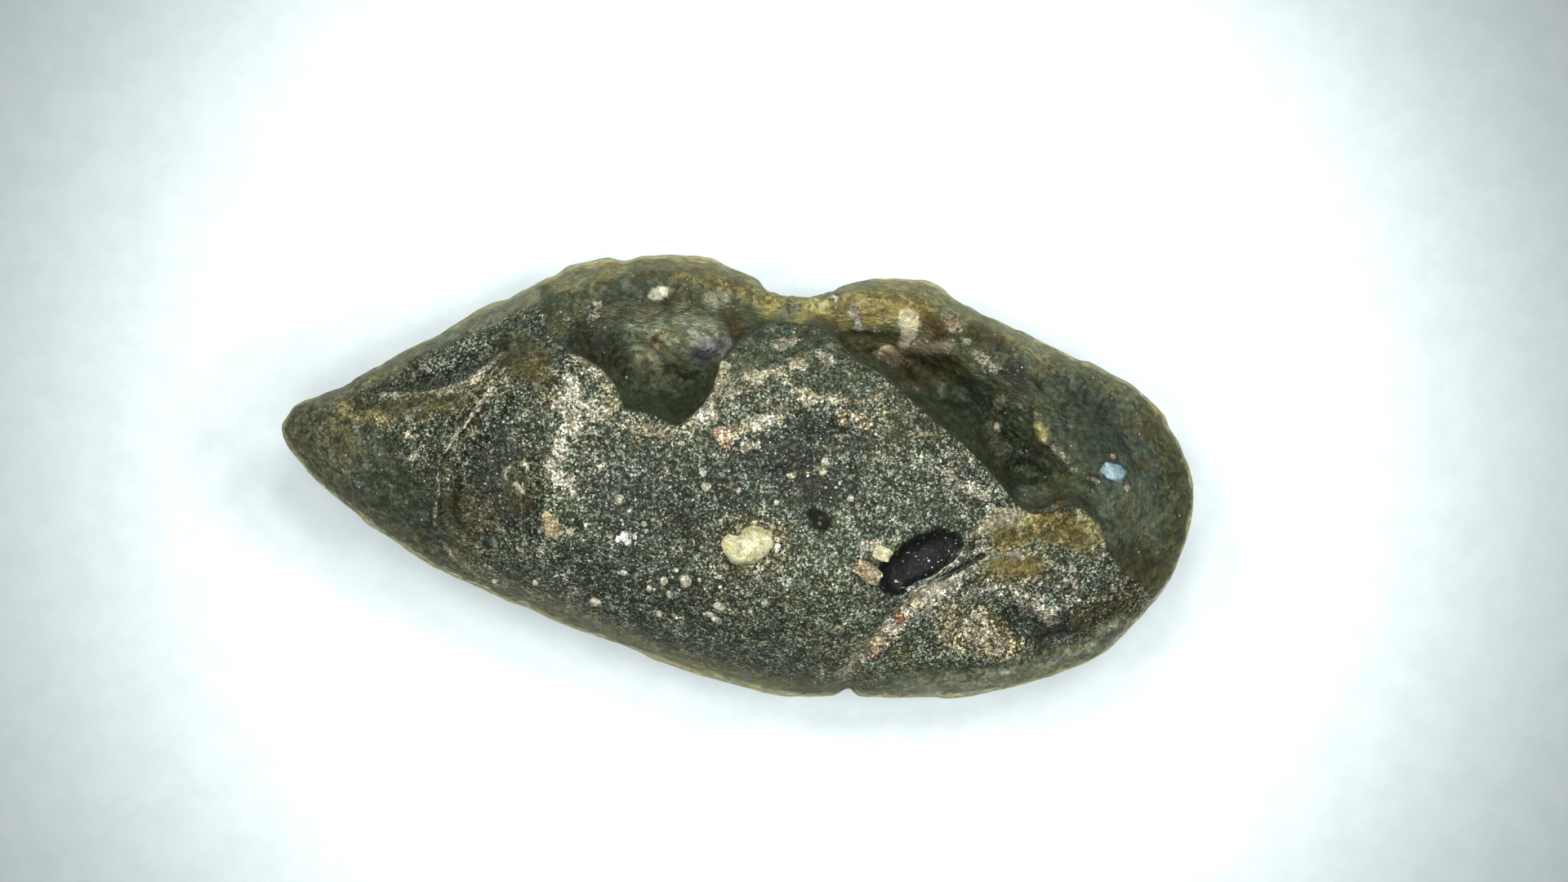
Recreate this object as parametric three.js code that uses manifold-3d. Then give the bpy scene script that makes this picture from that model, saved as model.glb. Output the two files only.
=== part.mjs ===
// A tektite: one lump of dark green natural glass, pointed at one end and round at the other.
// Millimetres, +Z up. +X runs along the stone to its round end, and +Y points to the side
// that is eaten away in two hollows. The origin is on the surface that the stone rests on,
// under the middle of its box.

import * as THREE from 'three';
import { mergeVertices } from 'three/addons/utils/BufferGeometryUtils.js';
import Module from 'manifold-3d';

const wasm = await Module();
wasm.setup();

// ---------------------------------------------------------------- driving dimensions
const HALF_LENGTH = 10.0;
const HALF_WIDTH = 4.8;
const WAIST_HEIGHT = 2.7; // height of the widest line above the rest face
const TIP_LIFT = 0.45; // how far the waist climbs towards the pointed end
const ROUND_END_LIFT = 0.15; // and towards the round end
const CROWN_RISE = 4.1; // from the waist up to the crest
const TIP_LOSS = 0.9; // how much lower the crest is at the pointed end
const ROUND_END_LOSS = 1.3; // and at the round end
const TILT_TO_BACK = 0.35; // the crest leans to the side with the hollows
const CROWN_ROUNDNESS = 2.7; // 2 is an ellipse, more is a fuller shoulder
const BELLY_DROP = 2.85; // from the waist down to the lowest point, before the rest face
const BELLY_ROUNDNESS = 2.3;
const LUMP_HEIGHT = 0.1; // of the broad waves on the whole skin
const FORM_FADE = 6; // how late the waves and forms fade towards the outline

// The broken-away side
const BACK_RISE = 2.0; // from the waist up to its rolled back edge
const EDGE_ROLL = 0.9; // how nearly the back edge rolls over to upright
const RIM_LEVEL = 6.0; // height at which the rim's line is true
const WALL_SPREAD = 0.11; // the wall's foot spreads out by this, times the square of the drop
const WALL_WAVE = 0.12; // flutes up and down the wall
const RUN_OUT_CLEARANCE = 0.06; // how far a floor that has run out lies above the crown

// Fineness of the faces
const SKIN_DETAIL = 12; // rings of the skin's starting mesh
const FLOOR_STEP = 0.26; // grid of the hollows' floor
const FLUTE_STEP = 0.36; // grid of the thumb flute's floor
const RIM_STEPS = 66; // along the rim
const WALL_ROWS = 9; // of the walls that stand between a floor and the sky
const PIT_DETAIL = 2.2; // rings on a pit for each millimetre of its half length
const SKY = 9.0; // above everything

// The outline seen from above, anticlockwise from the pointed end, along the front.
const OUTLINE = [
  [-10.0, 1.15], [-9.8, 0.65], [-9.4, 0.1], [-8.85, -0.4], [-8.25, -0.85], [-7.6, -1.25],
  [-6.9, -1.75], [-6.2, -2.1], [-5.45, -2.45], [-4.75, -2.75], [-3.85, -3.2], [-2.95, -3.5],
  [-1.9, -3.9], [-0.8, -4.25], [0.0, -4.45], [0.9, -4.7], [1.5, -4.78], [2.3, -4.76],
  [3.65, -4.8], [4.75, -4.75], [5.9, -4.55], [6.9, -4.25], [7.7, -3.95], [8.35, -3.5],
  [8.95, -2.85], [9.45, -2.25], [9.78, -1.45], [9.95, -0.95], [10.0, -0.4], [9.9, 0.2],
  [9.6, 0.85], [9.2, 1.4], [8.85, 1.85], [8.35, 2.15], [7.45, 2.6], [6.35, 3.1], [5.3, 3.6],
  [4.6, 4.0], [4.25, 4.25], [3.65, 4.4], [2.7, 4.38], [2.25, 4.25], [1.45, 4.05],
  [1.0, 4.15], [0.55, 4.3], [0.2, 4.5], [-0.2, 4.65], [-0.65, 4.75], [-1.35, 4.8],
  [-2.4, 4.8], [-3.4, 4.65], [-4.2, 4.4], [-5.15, 3.9], [-6.2, 3.4], [-7.25, 2.85],
  [-8.2, 2.3], [-8.95, 1.9], [-9.7, 1.67], [-9.93, 1.5],
];

// The crisp rim behind which the crown has broken away, from the pointed end's side to the
// round end: down into the first hollow and up again, over the saddle, along the second
// hollow and out over the flank.
const RIM = [
  [-4.3, 3.6], [-4.1, 3.15], [-3.85, 2.9], [-3.4, 2.62], [-3.05, 2.42], [-2.85, 2.2],
  [-2.68, 1.98], [-2.6, 1.75], [-2.5, 1.55], [-2.25, 1.48], [-1.95, 1.46], [-1.7, 1.36],
  [-1.5, 1.18], [-1.28, 1.16], [-1.05, 1.33], [-0.8, 1.58], [-0.64, 1.85], [-0.5, 2.15],
  [-0.4, 2.5], [-0.25, 2.77], [0.0, 3.0], [0.3, 3.2], [0.75, 3.4], [1.2, 3.42], [1.7, 3.3],
  [2.1, 3.05], [2.45, 2.68], [2.9, 2.4], [3.3, 2.15], [3.75, 1.72], [4.35, 1.2],
  [4.9, 0.75], [5.4, 0.28], [5.85, -0.28], [6.15, -0.65], [6.45, -0.76], [6.8, -0.74],
  [7.15, -0.55], [7.5, -0.62], [7.85, -1.0], [8.05, -1.55], [8.45, -2.1], [9.0, -2.5], [10.0, -3.4],
];
// The rest of the loop round the broken-away side, clear of the stone.
const BEYOND = [[12, -4.5], [12, 6.5], [-4.6, 6.5]];

// Forms in a surface: dips have a negative rise. Each lies along a line from one place to
// another, with the width of its half, and side says how steep its flank is (2 is a soft
// bell, 4 a flat floor).
const FLOOR_FORMS = [
  { from: [-2.1, 2.15], to: [-1.2, 1.95], width: 0.85, side: 4, rise: -1.35 }, // first hollow
  { from: [-3.3, 3.6], to: [-1.9, 3.85], width: 0.5, side: 2, rise: -0.45 }, // shelf above it
  { from: [-1.05, 2.9], to: [-0.85, 3.0], width: 0.55, side: 4, rise: 0.8 }, // big knob
  { from: [-1.85, 2.75], to: [-1.65, 2.8], width: 0.28, side: 2, rise: 0.3 }, // small knob
  { from: [2.35, 2.95], to: [2.85, 2.85], width: 0.38, side: 3, rise: -0.55 }, // saddle pit
  { from: [3.6, 2.35], to: [4.6, 1.6], width: 0.8, side: 3, rise: -1.5 }, // second hollow
  { from: [5.2, 1.2], to: [6.1, 0.25], width: 0.75, side: 3, rise: -1.2 },
  { from: [6.4, -0.25], to: [6.95, -0.15], width: 0.5, side: 3, rise: -1.0 }, // its foot
  { from: [4.3, 3.5], to: [4.55, 3.5], width: 0.28, side: 3, rise: -0.4 },
  { from: [2.7, 3.4], to: [3.8, 3.25], width: 0.35, side: 2, rise: -0.35 },
  { from: [6.85, 0.8], to: [6.6, 1.9], width: 0.22, side: 2, rise: 0.3 }, // ridge at its lip
  { from: [8.7, -0.9], to: [8.5, 0.9], width: 0.4, side: 2, rise: -0.12 }, // flank's flute
  { from: [7.6, 1.4], to: [9.0, 0.9], width: 0.45, side: 2, rise: -0.15 },
];

const CROWN_FORMS = [
  { from: [-8.3, 1.75], to: [-4.6, 3.35], width: 0.42, side: 2, rise: -0.42 }, // back flute
  { from: [-8.5, 1.45], to: [-5.6, 2.0], width: 0.2, side: 2, rise: -0.14 }, // tip ledge
  { from: [-3.9, 0.9], to: [-4.3, -1.1], width: 0.4, side: 2, rise: 0.14 }, // crusted ridge
  { from: [-3.1, 0.4], to: [-1.5, -1.5], width: 0.9, side: 2, rise: -0.22 },
  { from: [0.0, 1.7], to: [1.9, 1.5], width: 0.5, side: 2, rise: -0.18 }, // streaked groove
  { from: [2.0, 1.3], to: [3.3, 1.55], width: 0.32, side: 2, rise: -0.16 },
  { from: [1.0, -0.1], to: [1.9, 0.1], width: 0.5, side: 2, rise: -0.12 },
  { from: [4.75, -3.4], to: [5.5, -3.05], width: 0.55, side: 3, rise: -0.28 }, // gold hollow
  { from: [5.85, -2.9], to: [7.6, -3.65], width: 0.3, side: 2, rise: -0.34 }, // dark valley
  { from: [5.7, -1.2], to: [7.3, -1.3], width: 0.5, side: 2, rise: -0.15 }, // olive patch
  { from: [-0.6, -2.4], to: [2.2, -2.9], width: 0.8, side: 2, rise: 0.16 },
];

const BELLY_FORMS = [
  { from: [-7.4, 0.5], to: [-5.7, 1.2], width: 0.7, side: 2, rise: 0.4 },
  { from: [-5.2, -1.6], to: [-3.0, -2.2], width: 0.6, side: 2, rise: 0.3 },
  { from: [3.2, 2.9], to: [6.4, 1.9], width: 0.7, side: 2, rise: 0.45 },
  { from: [5.2, -2.6], to: [7.6, -1.5], width: 0.8, side: 2, rise: 0.5 },
  { from: [-1.6, 3.4], to: [0.2, 3.3], width: 0.7, side: 2, rise: 0.5 },
  { from: [0.2, -3.3], to: [2.2, -3.6], width: 0.55, side: 2, rise: 0.35 },
];

// Pits with a sharp edge: place in plan, half sizes along, across and deep, turn about Z in
// degrees, and how far the middle stands off the surface.
const CROWN_PITS = [
  { at: [4.0, -1.8], half: [1.05, 0.52, 0.5], turn: 34, off: 0.05 }, // lens pit
  { at: [4.95, -1.72], half: [0.7, 0.26, 0.28], turn: 44, off: 0.08 }, // its outer crescent
  { at: [4.55, -2.3], half: [0.8, 0.27, 0.24], turn: 38, off: 0.06 }, // head of the furrow
  { at: [3.3, -3.2], half: [0.85, 0.23, 0.22], turn: 46, off: 0.05 }, // middle of the furrow
  { at: [1.75, -0.85], half: [0.3, 0.26, 0.25], turn: 0, off: 0.05 },
  { at: [2.16, -0.28], half: [0.22, 0.18, 0.2], turn: 20, off: 0.05 },
  { at: [-5.42, -1.35], half: [0.26, 0.22, 0.2], turn: -30, off: 0.04 },
  { at: [2.3, 1.25], half: [0.2, 0.12, 0.2], turn: 10, off: 0.04 },
];

const BELLY_PITS = [
  { at: [-5.9, 0.4], half: [0.75, 0.5, 0.4], turn: 30, off: 0.12 },
  { at: [-4.4, -1.9], half: [0.4, 0.34, 0.3], turn: 0, off: 0.06 },
  { at: [-3.6, 2.9], half: [0.95, 0.42, 0.38], turn: 18, off: 0.1 },
  { at: [-1.2, -3.1], half: [0.5, 0.42, 0.36], turn: 0, off: 0.08 },
  { at: [0.9, 3.0], half: [0.34, 0.3, 0.26], turn: 0, off: 0.05 },
  { at: [2.6, -3.1], half: [1.1, 0.36, 0.34], turn: -12, off: 0.08 },
  { at: [5.6, 2.1], half: [0.6, 0.5, 0.4], turn: 0, off: 0.1 },
  { at: [6.5, -2.3], half: [0.42, 0.36, 0.3], turn: 0, off: 0.06 },
  { at: [7.9, 0.3], half: [0.8, 0.4, 0.36], turn: 62, off: 0.1 },
];

// Pits in the upright flanks: middle, half sizes and turn about Z.
const FLANK_PITS = [
  { at: [1.3, 5.0, 1.5], half: [1.7, 1.0, 1.0], turn: -4 }, // scoop under the thin saddle
  { at: [-3.7, 4.65, 2.0], half: [0.9, 0.6, 0.6], turn: 24 },
  { at: [-6.6, 3.2, 3.0], half: [0.8, 0.4, 0.4], turn: 26 },
  { at: [6.4, 3.5, 2.0], half: [1.0, 0.55, 0.55], turn: -25 },
  { at: [8.6, 2.4, 2.6], half: [0.5, 0.45, 0.4], turn: -35 },
  { at: [-7.0, -2.0, 2.3], half: [0.8, 0.45, 0.45], turn: -32 },
  { at: [-4.1, -3.3, 1.6], half: [0.5, 0.4, 0.4], turn: -25 },
  { at: [-1.9, -4.25, 2.0], half: [0.8, 0.5, 0.5], turn: -18 },
  { at: [5.4, -4.9, 2.0], half: [0.9, 0.5, 0.5], turn: 8 },
  { at: [8.9, -3.2, 2.3], half: [0.5, 0.45, 0.45], turn: 45 },
  { at: [10.1, -0.9, 2.4], half: [0.5, 0.7, 0.5], turn: 0 },
];

// The thumb-shaped flute near the pointed end: a sharp step along its left side, from which
// the floor climbs back to the crown. From the crest down, then round its foot.
const FLUTE = [[-5.0, 2.75], [-5.35, 2.1], [-5.5, 1.65], [-5.8, 1.35], [-6.25, 0.75],
  [-6.5, 0.45], [-6.55, -0.1], [-6.5, -0.75], [-6.2, -1.25], [-5.5, -1.6], [-4.9, -1.55],
  [-4.3, -1.2], [-3.9, -0.8]];
const FLUTE_BEYOND = [[-2.4, -0.3], [-2.4, 3.4]];
const FLUTE_DEPTH = 0.32;
const FLUTE_WIDTH = 2.4;
const FLUTE_SIDE = { at: -6.2, slope: 0.25 }; // x of the step where y is 0, and its slant
const FLUTE_HEAD = { from: -2.9, to: -1.5 }; // -y between which the flute starts

// The furrow that runs down the front from beside the lens pit and notches the outline.
const FURROW = [[5.15, -1.7], [4.7, -2.15], [4.3, -2.45], [3.9, -2.7], [3.45, -3.1],
  [3.05, -3.45], [2.7, -3.85], [2.45, -4.2], [2.3, -4.55], [2.25, -4.9]];
const FURROW_RADIUS = 0.2;
const FURROW_OFF = 0.08; // its middle line above the skin
const FURROW_END = { out: 0.15, below: 0.4 }; // past the outline, and below the waist

const degrees = THREE.MathUtils.degToRad;
const clamp01 = (value) => Math.min(Math.max(value, 0), 1);
const smooth = (value, from, to) => THREE.MathUtils.smoothstep(value, from, to);

// ---------------------------------------------------------------- plan of the stone
// The outline as a radius for each direction, on a plane where length and width are both 1.
const PLAN_DIRECTIONS = 360;

function planRadii() {
  const points = OUTLINE.map(([x, y]) => new THREE.Vector3(x, y, 0));
  const curve = new THREE.CatmullRomCurve3(points, true, 'centripetal');
  const polar = curve.getPoints(OUTLINE.length * 12).map((point) => {
    const [u, v] = [point.x / HALF_LENGTH, point.y / HALF_WIDTH];
    return { angle: Math.atan2(v, u), radius: Math.hypot(u, v) };
  });
  polar.sort((a, b) => a.angle - b.angle);
  const radii = [];
  let next = 0;
  for (let i = 0; i < PLAN_DIRECTIONS; i++) {
    const angle = -Math.PI + (2 * Math.PI * i) / PLAN_DIRECTIONS;
    while (next < polar.length && polar[next].angle < angle) next++;
    const [before, after] = [polar.at(next - 1), polar[next % polar.length]];
    const span = after.angle - before.angle;
    const share = span > 0 ? clamp01((angle - before.angle) / span) : 0;
    radii.push(before.radius + (after.radius - before.radius) * share);
  }
  return radii;
}

const SHARP_PLAN = planRadii();
const PLAN_SOFTENING = 14; // directions to each side that the inner contour lines average
const SOFT_PLAN = SHARP_PLAN.map((_, i) => {
  let sum = 0;
  for (let k = -PLAN_SOFTENING; k <= PLAN_SOFTENING; k++) {
    sum += SHARP_PLAN[(i + k + PLAN_DIRECTIONS) % PLAN_DIRECTIONS];
  }
  return sum / (2 * PLAN_SOFTENING + 1);
});

// Radius of the contour line that lies at the share rho from the middle to the outline.
function contour(angle, rho) {
  const place = ((angle + Math.PI) / (2 * Math.PI)) * PLAN_DIRECTIONS;
  const [low, share] = [Math.floor(place), place - Math.floor(place)];
  const read = (table) => {
    const [a, b] = [table[low % PLAN_DIRECTIONS], table[(low + 1) % PLAN_DIRECTIONS]];
    return a + (b - a) * share;
  };
  const sharpness = clamp01(rho) ** 7;
  return read(SOFT_PLAN) * (1 - sharpness) + read(SHARP_PLAN) * sharpness;
}

// Share of the way from the middle to the outline at a place in plan.
function outwardness(x, y) {
  const [u, v] = [x / HALF_LENGTH, y / HALF_WIDTH];
  const angle = Math.atan2(v, u);
  let rho = Math.hypot(u, v);
  for (let i = 0; i < 4; i++) rho = Math.hypot(u, v) / contour(angle, Math.min(rho, 1));
  return Math.min(rho, 1);
}

// ---------------------------------------------------------------- heights of the skin
// Height that a list of forms adds at a place in plan.
function relief(forms, x, y) {
  return forms.reduce((sum, { from, to, width, side, rise }) => {
    const [dx, dy] = [to[0] - from[0], to[1] - from[1]];
    const share = clamp01(((x - from[0]) * dx + (y - from[1]) * dy) / (dx * dx + dy * dy));
    const distance = Math.hypot(x - from[0] - share * dx, y - from[1] - share * dy);
    return sum + rise * Math.exp(-((distance / width) ** side));
  }, 0);
}

// Broad low waves, which differ from one surface to another by their phase.
function lumps(x, y, side) {
  return LUMP_HEIGHT * (Math.sin(1.1 * x + 0.7 * y + side) + Math.sin(1.6 * y - 0.8 * x + 2 * side)
    + 0.6 * Math.sin(2.1 * x - 1.3 * y + 4 * side));
}

function waist(x) {
  return WAIST_HEIGHT + TIP_LIFT * smooth(-x, 2, 10) + ROUND_END_LIFT * smooth(x, 5, 10);
}

function crown(x, y) {
  const rho = outwardness(x, y);
  const loss = ROUND_END_LOSS * smooth(x, 1, 10) + TIP_LOSS * smooth(-x, 1, 10);
  const rise = CROWN_RISE - loss + TILT_TO_BACK * (y / HALF_WIDTH);
  const forms = lumps(x, y, 0.4) + relief(CROWN_FORMS, x, y);
  return waist(x) + rise * Math.sqrt(1 - rho ** CROWN_ROUNDNESS) + forms * (1 - rho ** FORM_FADE);
}

function belly(x, y) {
  const rho = outwardness(x, y);
  const drop = BELLY_DROP + (waist(x) - WAIST_HEIGHT) / 2;
  const forms = lumps(x, y, 2.2) * rho ** 2 + relief(BELLY_FORMS, x, y);
  return waist(x) - drop * Math.sqrt(1 - rho ** BELLY_ROUNDNESS) + forms * (1 - rho ** FORM_FADE);
}

// Height of the broken-away side, with its hollows. It rolls over at the back edge, more
// gently towards the round end, and climbs to the crown where the break runs out.
function hollowFloor(x, y) {
  const roll = 9 - 5 * smooth(x, 4, 8);
  const edge = BACK_RISE - 0.1 * smooth(x, 2, 9) + 0.3 * smooth(-x, -2, 3);
  const rolled = edge * Math.sqrt(1 - (EDGE_ROLL * outwardness(x, y)) ** roll);
  const floor = waist(x) + rolled + relief(FLOOR_FORMS, x, y) + lumps(x, y, 1.1) * 0.6;
  const runOut = Math.max(smooth(-x, 2.9, 4.6), smooth(-y, 0.3, 2.7));
  return floor + (crown(x, y) + RUN_OUT_CLEARANCE - floor) * runOut;
}

// ---------------------------------------------------------------- solids
function solid(geometry) {
  geometry.deleteAttribute('normal');
  geometry.deleteAttribute('uv');
  const merged = mergeVertices(geometry);
  return new wasm.Manifold(new wasm.Mesh({
    numProp: 3,
    vertProperties: new Float32Array(merged.attributes.position.array),
    triVerts: new Uint32Array(merged.index.array),
  }));
}

function moveVertices(geometry, place) {
  const positions = geometry.attributes.position;
  for (let i = 0; i < positions.count; i++) {
    const moved = place(positions.getX(i), positions.getY(i), positions.getZ(i));
    positions.setXYZ(i, ...moved);
  }
  return geometry;
}

// The whole lump before anything broke or was etched away.
function lump() {
  const ball = new THREE.IcosahedronGeometry(1, SKIN_DETAIL);
  return solid(moveVertices(ball, (a, b, c) => {
    const angle = Math.atan2(b, a);
    const rho = Math.hypot(a, b);
    const radius = rho * contour(angle, rho);
    const [x, y] = [radius * Math.cos(angle) * HALF_LENGTH, radius * Math.sin(angle) * HALF_WIDTH];
    return [x, y, c >= 0 ? crown(x, y) : belly(x, y)];
  }));
}

// Everything above a floor and inside a loop in plan. The wall keeps to the loop at its top,
// and below that it follows the given bend.
function above(floor, corner, size, step, loop, bend) {
  const [columns, rows] = size.map((length) => Math.round(length / step));
  const block = new THREE.BoxGeometry(...size, 2, columns, rows, 1);
  block.translate(corner[0] + size[0] / 2, corner[1] + size[1] / 2, 0);
  const slab = solid(moveVertices(block, (x, y, z) => [x, y, z > 0 ? SKY : floor(x, y)]));
  const settings = { depth: SKY, steps: WALL_ROWS, bevelEnabled: false };
  const wall = new THREE.ExtrudeGeometry(new THREE.Shape(loop), settings);
  return slab.intersect(solid(moveVertices(wall, bend)));
}

function loopThrough(points, beyond, steps) {
  const line = new THREE.SplineCurve(points.map(([x, y]) => new THREE.Vector2(x, y)));
  return [...line.getPoints(steps), ...beyond.map(([x, y]) => new THREE.Vector2(x, y))];
}

function brokenAway() {
  const loop = loopThrough(RIM, BEYOND, RIM_STEPS);
  const bend = (x, y, z) => {
    const drop = Math.max(RIM_LEVEL - z, 0);
    const wave = WALL_WAVE * Math.sin(2.3 * x + 0.9 * z) * clamp01(drop);
    return [x, y + WALL_SPREAD * drop ** 2 + wave, z];
  };
  return above(hollowFloor, [-5.0, -4.9], [16.0, 10.5], FLOOR_STEP, loop, bend);
}

function thumbFlute() {
  const floor = (x, y) => {
    const across = (x + FLUTE_SIDE.slope * y - FLUTE_SIDE.at) / FLUTE_WIDTH;
    const runOut = smooth(across, -0.1, 1); // 0 at the step, 1 where the floor meets the crown
    const head = smooth(-y, FLUTE_HEAD.from, FLUTE_HEAD.to);
    return crown(x, y) - FLUTE_DEPTH * (1 - runOut) * head + RUN_OUT_CLEARANCE / 3;
  };
  const loop = loopThrough(FLUTE, FLUTE_BEYOND, FLUTE.length * 2);
  return above(floor, [-7.2, -2.2], [5.2, 6.0], FLUTE_STEP, loop, (x, y, z) => [x, y, z]);
}

function ellipsoid(half, turn, middle) {
  const ball = new THREE.IcosahedronGeometry(1, Math.floor(1.2 + PIT_DETAIL * half[0]));
  ball.scale(...half);
  ball.rotateZ(degrees(turn));
  ball.translate(...middle);
  return solid(ball);
}

// A pit in a skin whose height is known; up is 1 on the crown and -1 on the belly.
function pit({ at, half, turn, off }, height, up) {
  return ellipsoid(half, turn, [...at, height(...at) + off * up]);
}

function furrow() {
  const route = FURROW.map(([x, y]) => new THREE.Vector3(x, y, crown(x, y) + FURROW_OFF));
  const foot = route.at(-1);
  const below = WAIST_HEIGHT - FURROW_END.below;
  route.push(new THREE.Vector3(foot.x, foot.y - FURROW_END.out, below));
  const path = new THREE.CatmullRomCurve3(route, false, 'centripetal');
  const section = new THREE.Shape();
  section.absarc(0, 0, FURROW_RADIUS, 0, 2 * Math.PI);
  const settings = { steps: 26, curveSegments: 5, extrudePath: path, bevelEnabled: false };
  return solid(new THREE.ExtrudeGeometry(section, settings));
}

// What lies below the rest face.
function belowRest() {
  const slab = new THREE.BoxGeometry(3 * HALF_LENGTH, 3 * HALF_LENGTH, 2);
  slab.translate(0, 0, -1);
  return solid(slab);
}

function tektite() {
  const bites = [
    brokenAway(),
    thumbFlute(),
    furrow(),
    ...CROWN_PITS.map((form) => pit(form, crown, 1)),
    ...BELLY_PITS.map((form) => pit(form, belly, -1)),
    ...FLANK_PITS.map(({ at, half, turn }) => ellipsoid(half, turn, at)),
    belowRest(),
  ];
  const stone = bites.reduce((rest, bite) => rest.subtract(bite), lump());
  const { vertProperties, triVerts } = stone.getMesh();
  const geometry = new THREE.BufferGeometry();
  geometry.setAttribute('position', new THREE.BufferAttribute(vertProperties, 3));
  geometry.setIndex(new THREE.BufferAttribute(triVerts, 1));
  geometry.computeVertexNormals();
  const glass = new THREE.MeshStandardMaterial({ color: 0x4f543f, roughness: 0.55, metalness: 0 });
  const mesh = new THREE.Mesh(geometry, glass);
  mesh.name = 'tektite';
  return mesh;
}

const group = new THREE.Group();
group.add(tektite());

export default group;
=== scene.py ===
"""A tektite: a pitted lump of dark green natural glass, with clay and mineral grains in its skin.

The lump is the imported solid, remeshed finely, worn smooth and etched. Every place below is in
millimetres in the solid's own frame, and the finished meshes are scaled to metres.
"""
import math

import bmesh
import bpy
import numpy as np
from mathutils import Matrix, Vector, noise
from mathutils.bvhtree import BVHTree
from mathutils.kdtree import KDTree


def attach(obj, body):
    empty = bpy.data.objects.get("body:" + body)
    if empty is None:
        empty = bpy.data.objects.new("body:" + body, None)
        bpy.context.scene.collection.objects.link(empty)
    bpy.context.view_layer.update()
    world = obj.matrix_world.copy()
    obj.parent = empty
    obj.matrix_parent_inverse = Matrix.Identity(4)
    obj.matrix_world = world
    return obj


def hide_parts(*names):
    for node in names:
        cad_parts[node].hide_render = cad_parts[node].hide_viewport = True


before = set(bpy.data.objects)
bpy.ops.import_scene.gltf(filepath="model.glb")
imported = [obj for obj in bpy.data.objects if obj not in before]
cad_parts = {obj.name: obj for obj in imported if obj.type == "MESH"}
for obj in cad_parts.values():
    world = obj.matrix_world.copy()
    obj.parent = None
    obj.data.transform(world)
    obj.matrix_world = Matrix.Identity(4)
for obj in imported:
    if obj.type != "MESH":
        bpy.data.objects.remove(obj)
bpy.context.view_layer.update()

MM = 0.001
SEED = 11

# ------------------------------------------------------------------ camera, light and floor
FIELD_WIDTH = 34.37  # of what the camera sees at the height of the stone's waist
FIELD_MIDDLE = (0.98, 0.83)  # what the camera and the lamps point at
WAIST = 2.7  # height of the stone's widest outline
CAMERA_DISTANCE = 400.0
SENSOR = 36.0
CLIPPING = (0.01, 10)  # in metres
LED_COUNT = 8
LED_RING = 17.0
LED_HEIGHT = 42.0
LED_SIZE = 5.0
LED_POWER = 0.0195
LED_CONE = 50.0
LED_LEAN = (55.0, 0.3)  # the side that is brighter, in degrees from +X, and by how much
LED_WHITE = (0.97, 1.0, 1.0)
ROOM_WHITE = (0.78, 0.85, 0.88, 1)
ROOM_POWER = 0.45
PAPER_WIDTH = 2.0  # in metres
PAPER_SHADES = ((0.80, 0.86, 0.87), (0.86, 0.91, 0.91))

# ------------------------------------------------------------------ the glass body
WELD = 0.0005  # how near the solid's loose corners lie that are joined
MESH_STEP = 0.056
FACES_LEFT = 196000  # after the fine mesh has been thinned where it is flat
FIRST_SMOOTHING = 2  # rounds over the whole skin
SMOOTHING = 36  # rounds that leave the creases
EASE = (0.02, 0.5)  # how far a round moves a crease, and how much further the rest
CREASE = 0.05  # turn between neighbouring normals past which an edge is kept crisp
CREASE_SPREAD = 3  # faces beside a crease that are kept with it
UPPER = (1.0, 1.8)  # heights between which the underside gives way to the upper skin
FACING_UP = (-0.1, 0.15)  # upright part of the normal from which skin is seen from above
GENTLE = (0.1, 0.75)  # upright part of the normal between a steep wall and gentle ground
KEPT_FLAT = (0.02, 0.3)  # heights between which relief begins, so that the foot stays flat
COARSE, MIDDLING, FINE = 1.5, 0.5, 0.2  # sizes of the skin's unevenness
RAGGED = 0.3  # how ragged the edge of a patch is, in its half widths
SOFT_EDGE = (0.4, 1.5)  # half widths between which a patch fades out
CRISP_EDGE = (0.85, 1.15)
CLAY_EDGE, CLAY_RAGGED = (0.0, 2.1), 0.55
CARVING_RAGGED = 0.12

OUTLINE_SIDES = 144
EDGE_LIGHT_WIDTH = 0.8  # of the light painted along the outline, paler glass where light comes through
EDGE_LIGHT_CORE = 0.11  # of its palest part
EDGE_LIGHT_AMOUNT = 0.6
PAINTED_WALL_LIGHT = 0.35  # how much light is painted onto the glass behind the rim where it stands upright, to offset its shade
BACK_HUE = (1.0, 0.99, 0.86)  # the glass behind the rim is browner
MOSS_CLOUDS = (2.2, 0.4)  # size and amount
UNDER_CLAY = 0.5
FRONT_FILM = 0.17  # of clay all over the front
STEEP_GRIT = 0.4  # the share of the grit that is left on steep walls
SPECK_GRIT = 0.5  # and on pale crisp spots
PALE_FROM = 0.1  # red of a tint from which a spot is pale

COARSE_RELIEF = 0.045  # heights of the skin's unevenness
MIDDLING_RELIEF = 0.045
FINE_RELIEF = 0.022
RIDGE_RELIEF, RIDGE_SIZE = 0.02, 0.42
CLAY_RELIEF = 0.025
PIT_COUNT = 1400
PIT_RADII = (0.07, 0.08, 0.16)  # the least, and what a common and a rare pit have more
PIT_DEPTH = 0.45  # of its radius
PIT_FREE = (0.05, 0.4)  # heights between which pits begin
ABOVE = 20  # a height over the whole stone

# ------------------------------------------------------------------ the finishes
FACETS_PER_MM = 25.0
GRAIN_FACETS_PER_MM = 27.0
GLINT_SHARE = 0.08  # of the facets where the grit is strongest
ETCHED, POLISHED = 0.72, 0.3  # roughness
# REFLECTION_CAST is the grey that the brightest facets turn to, a painted reflection.
BROWN_CAST, GREEN_CAST, REFLECTION_CAST = (1.17, 1.03, 0.76), (0.95, 1.0, 0.97), (0.98, 1.02, 0.95)
GLASS_IOR = 1.5
GLASS_SPECULAR = 0.25
SKIN_BUMP, GRAIN_BUMP, PAPER_BUMP = 0.07, 0.04, 0.03  # heights in millimetres

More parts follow.
